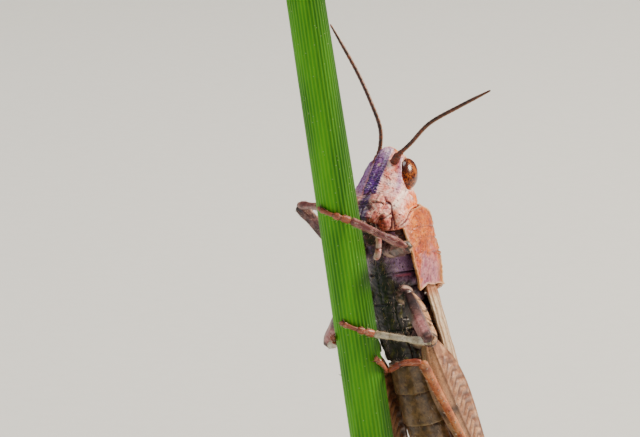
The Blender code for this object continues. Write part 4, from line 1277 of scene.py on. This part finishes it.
def jumpShape(leg, pair):
    # ellipses along the thigh, taller than wide, with keels above, below and on each face, and a lobed knee
    start, end = np.array(leg["hip"]), np.array(leg["knee"])
    axis, side = unit(end - start), np.sign(start[1])
    out = unit(np.array((0, 1, 0)) - axis * axis[1]) * side
    up = np.cross(axis, out) * side
    length = np.linalg.norm(end - start) + legSize["kneeReach"]
    where, close = domedRows(length, 0.14, 0.2, 330, 9)
    tables = legSize["jumpHeights"], legSize["jumpWidths"]
    tall, wide = (smoothRadii(table, where / length)[:, None] for table in tables)
    turn, along, close = around(132), (where / length)[:, None], close[:, None]
    rise, sideways = np.sin(turn), np.cos(turn)
    knee = step(along, 0.90, 0.94)
    keels = (bump(rise - 0.62, 0.055) + bump(rise + 0.62, 0.055)) * (1 - knee)
    rims = bump(np.abs(rise) - 1, 0.02) * (1 - 0.5 * knee)
    face = bump(rise, 0.52) * (1 - knee) * (np.abs(rise) < 0.60)
    # herringbone ribs 0.42 mm apart
    rib = np.sin(2 * np.pi * (along * length / 0.42 - np.abs(rise) * 1.3)) * face * step(along, 0.05, 0.12)
    lobe = bump(along - 0.955, 0.022) * bump(rise + 0.1, 0.55)
    relief = 0.05 * keels + 0.06 * rims + 0.030 * rib - 0.03 * face + 0.06 * lobe
    upward = (tall + relief) * rise * close
    outward = (wide + relief) * np.sign(sideways) * np.abs(sideways) ** 0.9 * close
    points = (start + axis * where[:, None])[:, None] + up * upward[..., None] + out * outward[..., None]
    bars = sum(bump(along - place, 0.025) for place in (0.28, 0.48, 0.68)) * step(rise, 0.45, 0.7)
    return gridShape(
        points, upper=step(rise, 0.55, 0.75), chevron=held(-rib * 1.4), bars=held(bars),
        kneeCap=bump(along - 0.965, 0.025) * step(np.abs(rise), 0, 0.2),
        ringed=held(0.7 * keels + 0.5 * rims),
    )


legLook = {
    "blotch": 0.40, "grain": (0.06, 0.22), "pit": (0.08, 0.006), "rough": 0.42, "wax": 0.2, "glow": 0.08,
}
legShells = {}
for part, name, tones, tone, marks in (
    ("coxa", "darkCoxaChitin", ("#1d0f12", "#4a2a2c", "#a07078"), "#0d0606", (
        ("pale", "#d9b9a4", 0.75), ("ringed", "#120708", 0.6),
    )),
    ("thigh", "barredThighChitin", ("#281012", "#5c3230", "#946458"), "#2a1210", (
        # the base mark is painted shade on the mid thigh near the hip
        ("base", "#0e0608", 0.8), ("upper", "#c98a58", 0.85, "#f0c69a"), ("bars", "#120907", 0.92),
        ("pink", "#b8696c", 0.85, "#d99a94"), ("ringed", "#3a1a16", 0.6),
    )),
    ("foreShin", "foreShinChitin", ("#5e2c2a", "#8c4a44", "#b27468"), "#4a1c18", (
        ("upper", "#c08474", 0.6), ("ringed", "#7c3a30", 0.6),
    )),
    ("midShin", "paleShinChitin", ("#9a8566", "#c9b896", "#e2d7bb"), "#4c3826", (
        ("upper", "#efe6cc", 0.6), ("ringed", "#5e4630", 0.6),
    )),
    ("hindShin", "hindShinChitin", ("#a8512c", "#c8743e", "#dd9a66"), "#3c1810", (
        ("upper", "#e2a878", 0.5), ("ringed", "#4a1c10", 0.6),
    )),
    ("foot", "rustyFootChitin", ("#5c2014", "#8e3c24", "#b0603e"), "#2c0c08", (
        ("pale", "#c47450", 0.45), ("ringed", "#4a160a", 0.8),
    )),
    ("jump", "herringboneThighChitin", ("#744430", "#a4704e", "#cf9e78"), "#2a1612", (
        ("upper", "#c89a72", 0.6), ("chevron", "#4c2c22", 0.65), ("bars", "#241210", 0.85),
        ("kneeCap", "#1c0f0e", 0.85), ("ringed", "#5a3826", 0.6),
    )),
):
    look = {**legLook, "tones": tones, "speck": (0.11, 0.42, 0.5, tone), "marks": marks}
    legShells[part] = chitin(name, look)

legPieces = {}
for (pair, side), leg in legForm.items():
    makeThigh, thighShell = (jumpShape, "jump") if pair == "hind" else (thighShape, "thigh")
    legPieces[pair, side] = []
    for part, node, shape, shell in (
        ("coxa", "coxa", coxaShape(leg, pair), "coxa"), ("thigh", "femur", makeThigh(leg, pair), thighShell),
        ("shin", "tibia", shinShape(leg, pair), pair + "Shin"), ("foot", "tarsus", footShape(leg), "foot"),
    ):
        name, nodes = f"{part}{pair.title()}{side.title()}", [f"{node}_{pair}_{side}"]
        legPieces[pair, side].append(addPiece(name, shape, legShells[shell], nodes))
print("legs done")


# Spines and hairs

spineForm = {  # per leg: rows from and to, count, length, thickness and how far the two rows split
    "fore": {"from": 0.35, "to": 0.95, "count": 6, "long": 0.13, "thick": 0.022, "split": 0.6},
    "mid": {"from": 0.35, "to": 0.95, "count": 6, "long": 0.13, "thick": 0.020, "split": 0.6},
    "hind": {"from": 0.30, "to": 0.97, "count": 12, "long": 0.24, "thick": 0.034, "split": 0.75},
}


def spineShape(leg, pair):
    # two rows of spines under the shin, leaning towards the foot
    form, radii, start, end = spineForm[pair], legSize["shin"][pair], np.array(leg["knee"]), ankleOf(leg)
    axis, thigh = unit(end - start), np.array(leg["hip"]) - start
    away = unit(thigh - axis * (thigh @ axis)) * (-1 if pair == "hind" else 1)
    along = np.repeat(np.linspace(form["from"], form["to"], form["count"]), 2)
    row = np.tile((1.0, -1.0), form["count"])[:, None]
    radius = np.interp(along, np.linspace(0, 1, len(radii)), radii)[:, None]
    out = unit(away + np.cross(axis, away) * row * form["split"])
    roots = start + (end - start) * along[:, None] + out * radius * 0.85
    lengths, thick = (np.full(len(along), form[name]) for name in ("long", "thick"))
    bend = np.tile(axis * 0.15, (len(along), 1))
    unwrap = np.hstack((along[:, None], 0.5 + 0.3 * row, 0 * row))
    return bristles(roots, out + axis * 0.9, lengths, thick, bend, 6, unwrap)


def bristleMaterial():
    # Chitin bristle: clear amber, darker to black towards a spine's tip, glassy
    material, shader, add = newMaterial("amberBristleChitin")
    vary = add("TexNoise", {"Vector": add("Attribute", {}, "Vector", attribute_name="place"), "Scale": 2.5})
    colour = washed(add, linear("#c89a76"), (vary, 0.4, 0.6, "#f0dcc8"))
    tip = add("Attribute", {}, "Fac", attribute_name="dark")
    colour = add("Mix", {0: tip, 6: colour, 7: linear("#1a0c08")}, 2, data_type="RGBA")
    wire(shader, {"Base Color": colour, "Roughness": 0.3, "IOR": 1.55})
    return material


bristleShell = bristleMaterial()
spines = joined([spineShape(leg, pair) for (pair, side), leg in legForm.items()])
spines["masks"]["dark"] = step(spines["masks"].pop("tip"), 0.4, 0.8)
addHairs("shinSpines", spines, bristleShell)


def lowFace(centre, normal):
    return (0.15 + step(-centre[:, 2], -0.6, 0.8)) * step(centre[:, 0], 0.1, 0.6)


def breast(centre, normal):
    return step(-normal[:, 2], 0.1, 0.6) * (0.3 + step(centre[:, 0], -2.6, -0.8))


def anywhere(centre, normal):
    return np.ones(len(centre))


for name, skins, count, length, radius, lie, lift, weight, seed, slot in (
    ("faceHairs", [headPiece], 170, (0.06, 0.16), 0.006, (-0.3, 0, -1), 0.9, lowFace, 61, "face_shell"),
    (
        "mouthHairs", [lipPiece, chinPiece], 260, (0.10, 0.30), 0.007, (-0.2, 0, -1), 0.8, anywhere, 62,
        "face_shell",
    ),
    ("chestHairs", [chestPiece], 420, (0.10, 0.28), 0.006, (-0.9, 0, -0.3), 1.1, breast, 63, "trunk_shell"),
    ("hindHairs", [hindPiece], 500, (0.10, 0.20), 0.007, (-1, 0, -0.1), 0.3, anywhere, 64, "trunk_shell"),
):
    addHairs(name, hairsOver(skins, count, length, radius, lie, lift, weight, seed), bristleShell)
for number, ((pair, side), pieces) in enumerate(legPieces.items()):
    leg, coats = legForm[pair, side], []
    ends = (leg["coxa"], leg["hip"], leg["knee"], ankleOf(leg), footRoute(leg)[-1])
    for k, (piece, count) in enumerate(zip(pieces, (60, 110, 130, 60))):
        lie = unit(np.array(ends[k + 1]) - np.array(ends[k]))
        coats.append(hairsOver([piece], count, (0.08, 0.20), 0.0055, lie, 0.5, anywhere, 70 + number * 4 + k))
    addHairs(f"legHairs{pair.title()}{side.title()}", joined(coats), bristleShell)
print("hairs done")


# Stand

standForm = {
    "base": {"radius": 15, "low": 0, "high": 3, "rim": 0.6},
    "rod": {"radius": 1.7, "low": 3, "high": 7, "rim": 0.25}, "lean": 0.85,
}


def turnedShape(form, centre):
    # a profile turned round an upright line: flat faces joined by quarter rounds of the rim's radius
    radius, low, high, rim = form.values()
    curve, flat, inner = quarter(10), np.array((0, radius * 0.5)), radius - rim
    r = np.concatenate((flat, inner + rim * np.sin(curve), inner + rim * np.cos(curve), flat[::-1]))[:, None]
    rise = np.concatenate((low + rim - rim * np.cos(curve), high - rim + rim * np.sin(curve)))
    z = np.concatenate(([low, low], rise, [high, high]))[:, None]
    turn = around(160)
    return gridShape(np.stack((centre[0] + r * np.cos(turn), centre[1] + r * np.sin(turn), z + 0 * turn), -1))


def standMaterial():
    # Lacquered cast resin: a satin charcoal skin with the fine orange-peel texture of sprayed lacquer
    material, shader, add = newMaterial("satinStandLacquer")
    # the texture is 0.1 mm in life; drawn at 0.25 mm so that it shows
    grit = add("TexNoise", {"Vector": add("TexCoord", {}, "Object"), "Scale": 4000, "Detail": 3})
    wire(shader, {
        "Base Color": washed(add, linear("#1d1e20"), (grit, 0.35, 0.65, "#2b2c2f")), "Roughness": 0.48,
        "Normal": add("Bump", {"Height": grit, "Strength": 0.5, "Distance": 0.00003}),
    })
    return material


standLacquer = standMaterial()
for word, centre in (("base", (0, 0)), ("rod", np.array(stemForm["low"][:2]) * standForm["lean"])):
    shape = turnedShape(standForm[word], centre)
    addPiece(f"stand{word.title()}", shape, standLacquer, [f"stand_{word}"], onInsect=False)
print("stand done")


# Floor, light and camera

def floorMaterial():
    # Matt paper sweep: pale, even, with the faintest fibre
    material, shader, add = newMaterial("palePaperSweep")
    fibre = add("TexNoise", {"Vector": add("TexCoord", {}, "Object"), "Scale": 900, "Detail": 2})
    tones = {0: fibre, 6: linear("#dcdfda"), 7: linear("#e2e4e0")}
    wire(shader, {"Base Color": add("Mix", tones, 2, data_type="RGBA"), "Roughness": 0.9})
    return material


floorMesh = bpy.data.meshes.new("floorSheet")
floorMesh.from_pydata([(-1.5, -1.5, 0), (1.5, -1.5, 0), (1.5, 1.5, 0), (-1.5, 1.5, 0)], [], [(0, 1, 2, 3)])
floorMesh.materials.append(floorMaterial())
floorSheet = bpy.data.objects.new("floorSheet", floorMesh)
bpy.context.scene.collection.objects.link(floorSheet)

lights = {  # place and aim in metres, size in metres, watts and colour
    "keyPanel": ((0.34, 0.06, 0.33), (0, 0, 0.024), 0.16, 4.2, "#ffeeda"),
    "fillPanel": ((-0.38, -0.22, 0.16), (0, 0, 0.024), 0.26, 0.35, "#d4e0ff"),
    "topPanel": ((-0.04, 0.12, 0.45), (0, 0, 0.02), 0.24, 1.2, "#ffffff"),
}
for name, (place, aim, size, power, colour) in lights.items():
    lamp = bpy.data.lights.new(name, "AREA")
    lamp.shape, lamp.size, lamp.energy, lamp.color = "DISK", size, power, linear(colour)[:3]
    holder = bpy.data.objects.new(name, lamp)
    way = unit(np.array(place) - np.array(aim))
    side = unit(np.cross((0, 0, 1), way))
    rows = np.stack((side, np.cross(way, side), way, place), -1)
    holder.matrix_world = Matrix([*rows.tolist(), [0, 0, 0, 1]])
    bpy.context.scene.collection.objects.link(holder)

world = bpy.data.worlds.new("softRoom")
world.use_nodes = True
wire(world.node_tree.nodes["Background"], {"Color": linear("#eef1f4"), "Strength": 0.15})
bpy.context.scene.world = world

view = {"place": (-0.0032, -0.174667, 0.063024), "tilt": 78, "lens": 234.9, "sensor": 36, "near": 0.01}
camera = bpy.data.objects.new("viewCamera", bpy.data.cameras.new("viewCamera"))
camera.data.lens, camera.data.sensor_width = view["lens"], view["sensor"]
camera.data.clip_start = view["near"]
camera.location = view["place"]
camera.rotation_euler = (np.radians(view["tilt"]), 0, 0)
bpy.context.scene.collection.objects.link(camera)
bpy.context.scene.camera = camera

print("scene done")
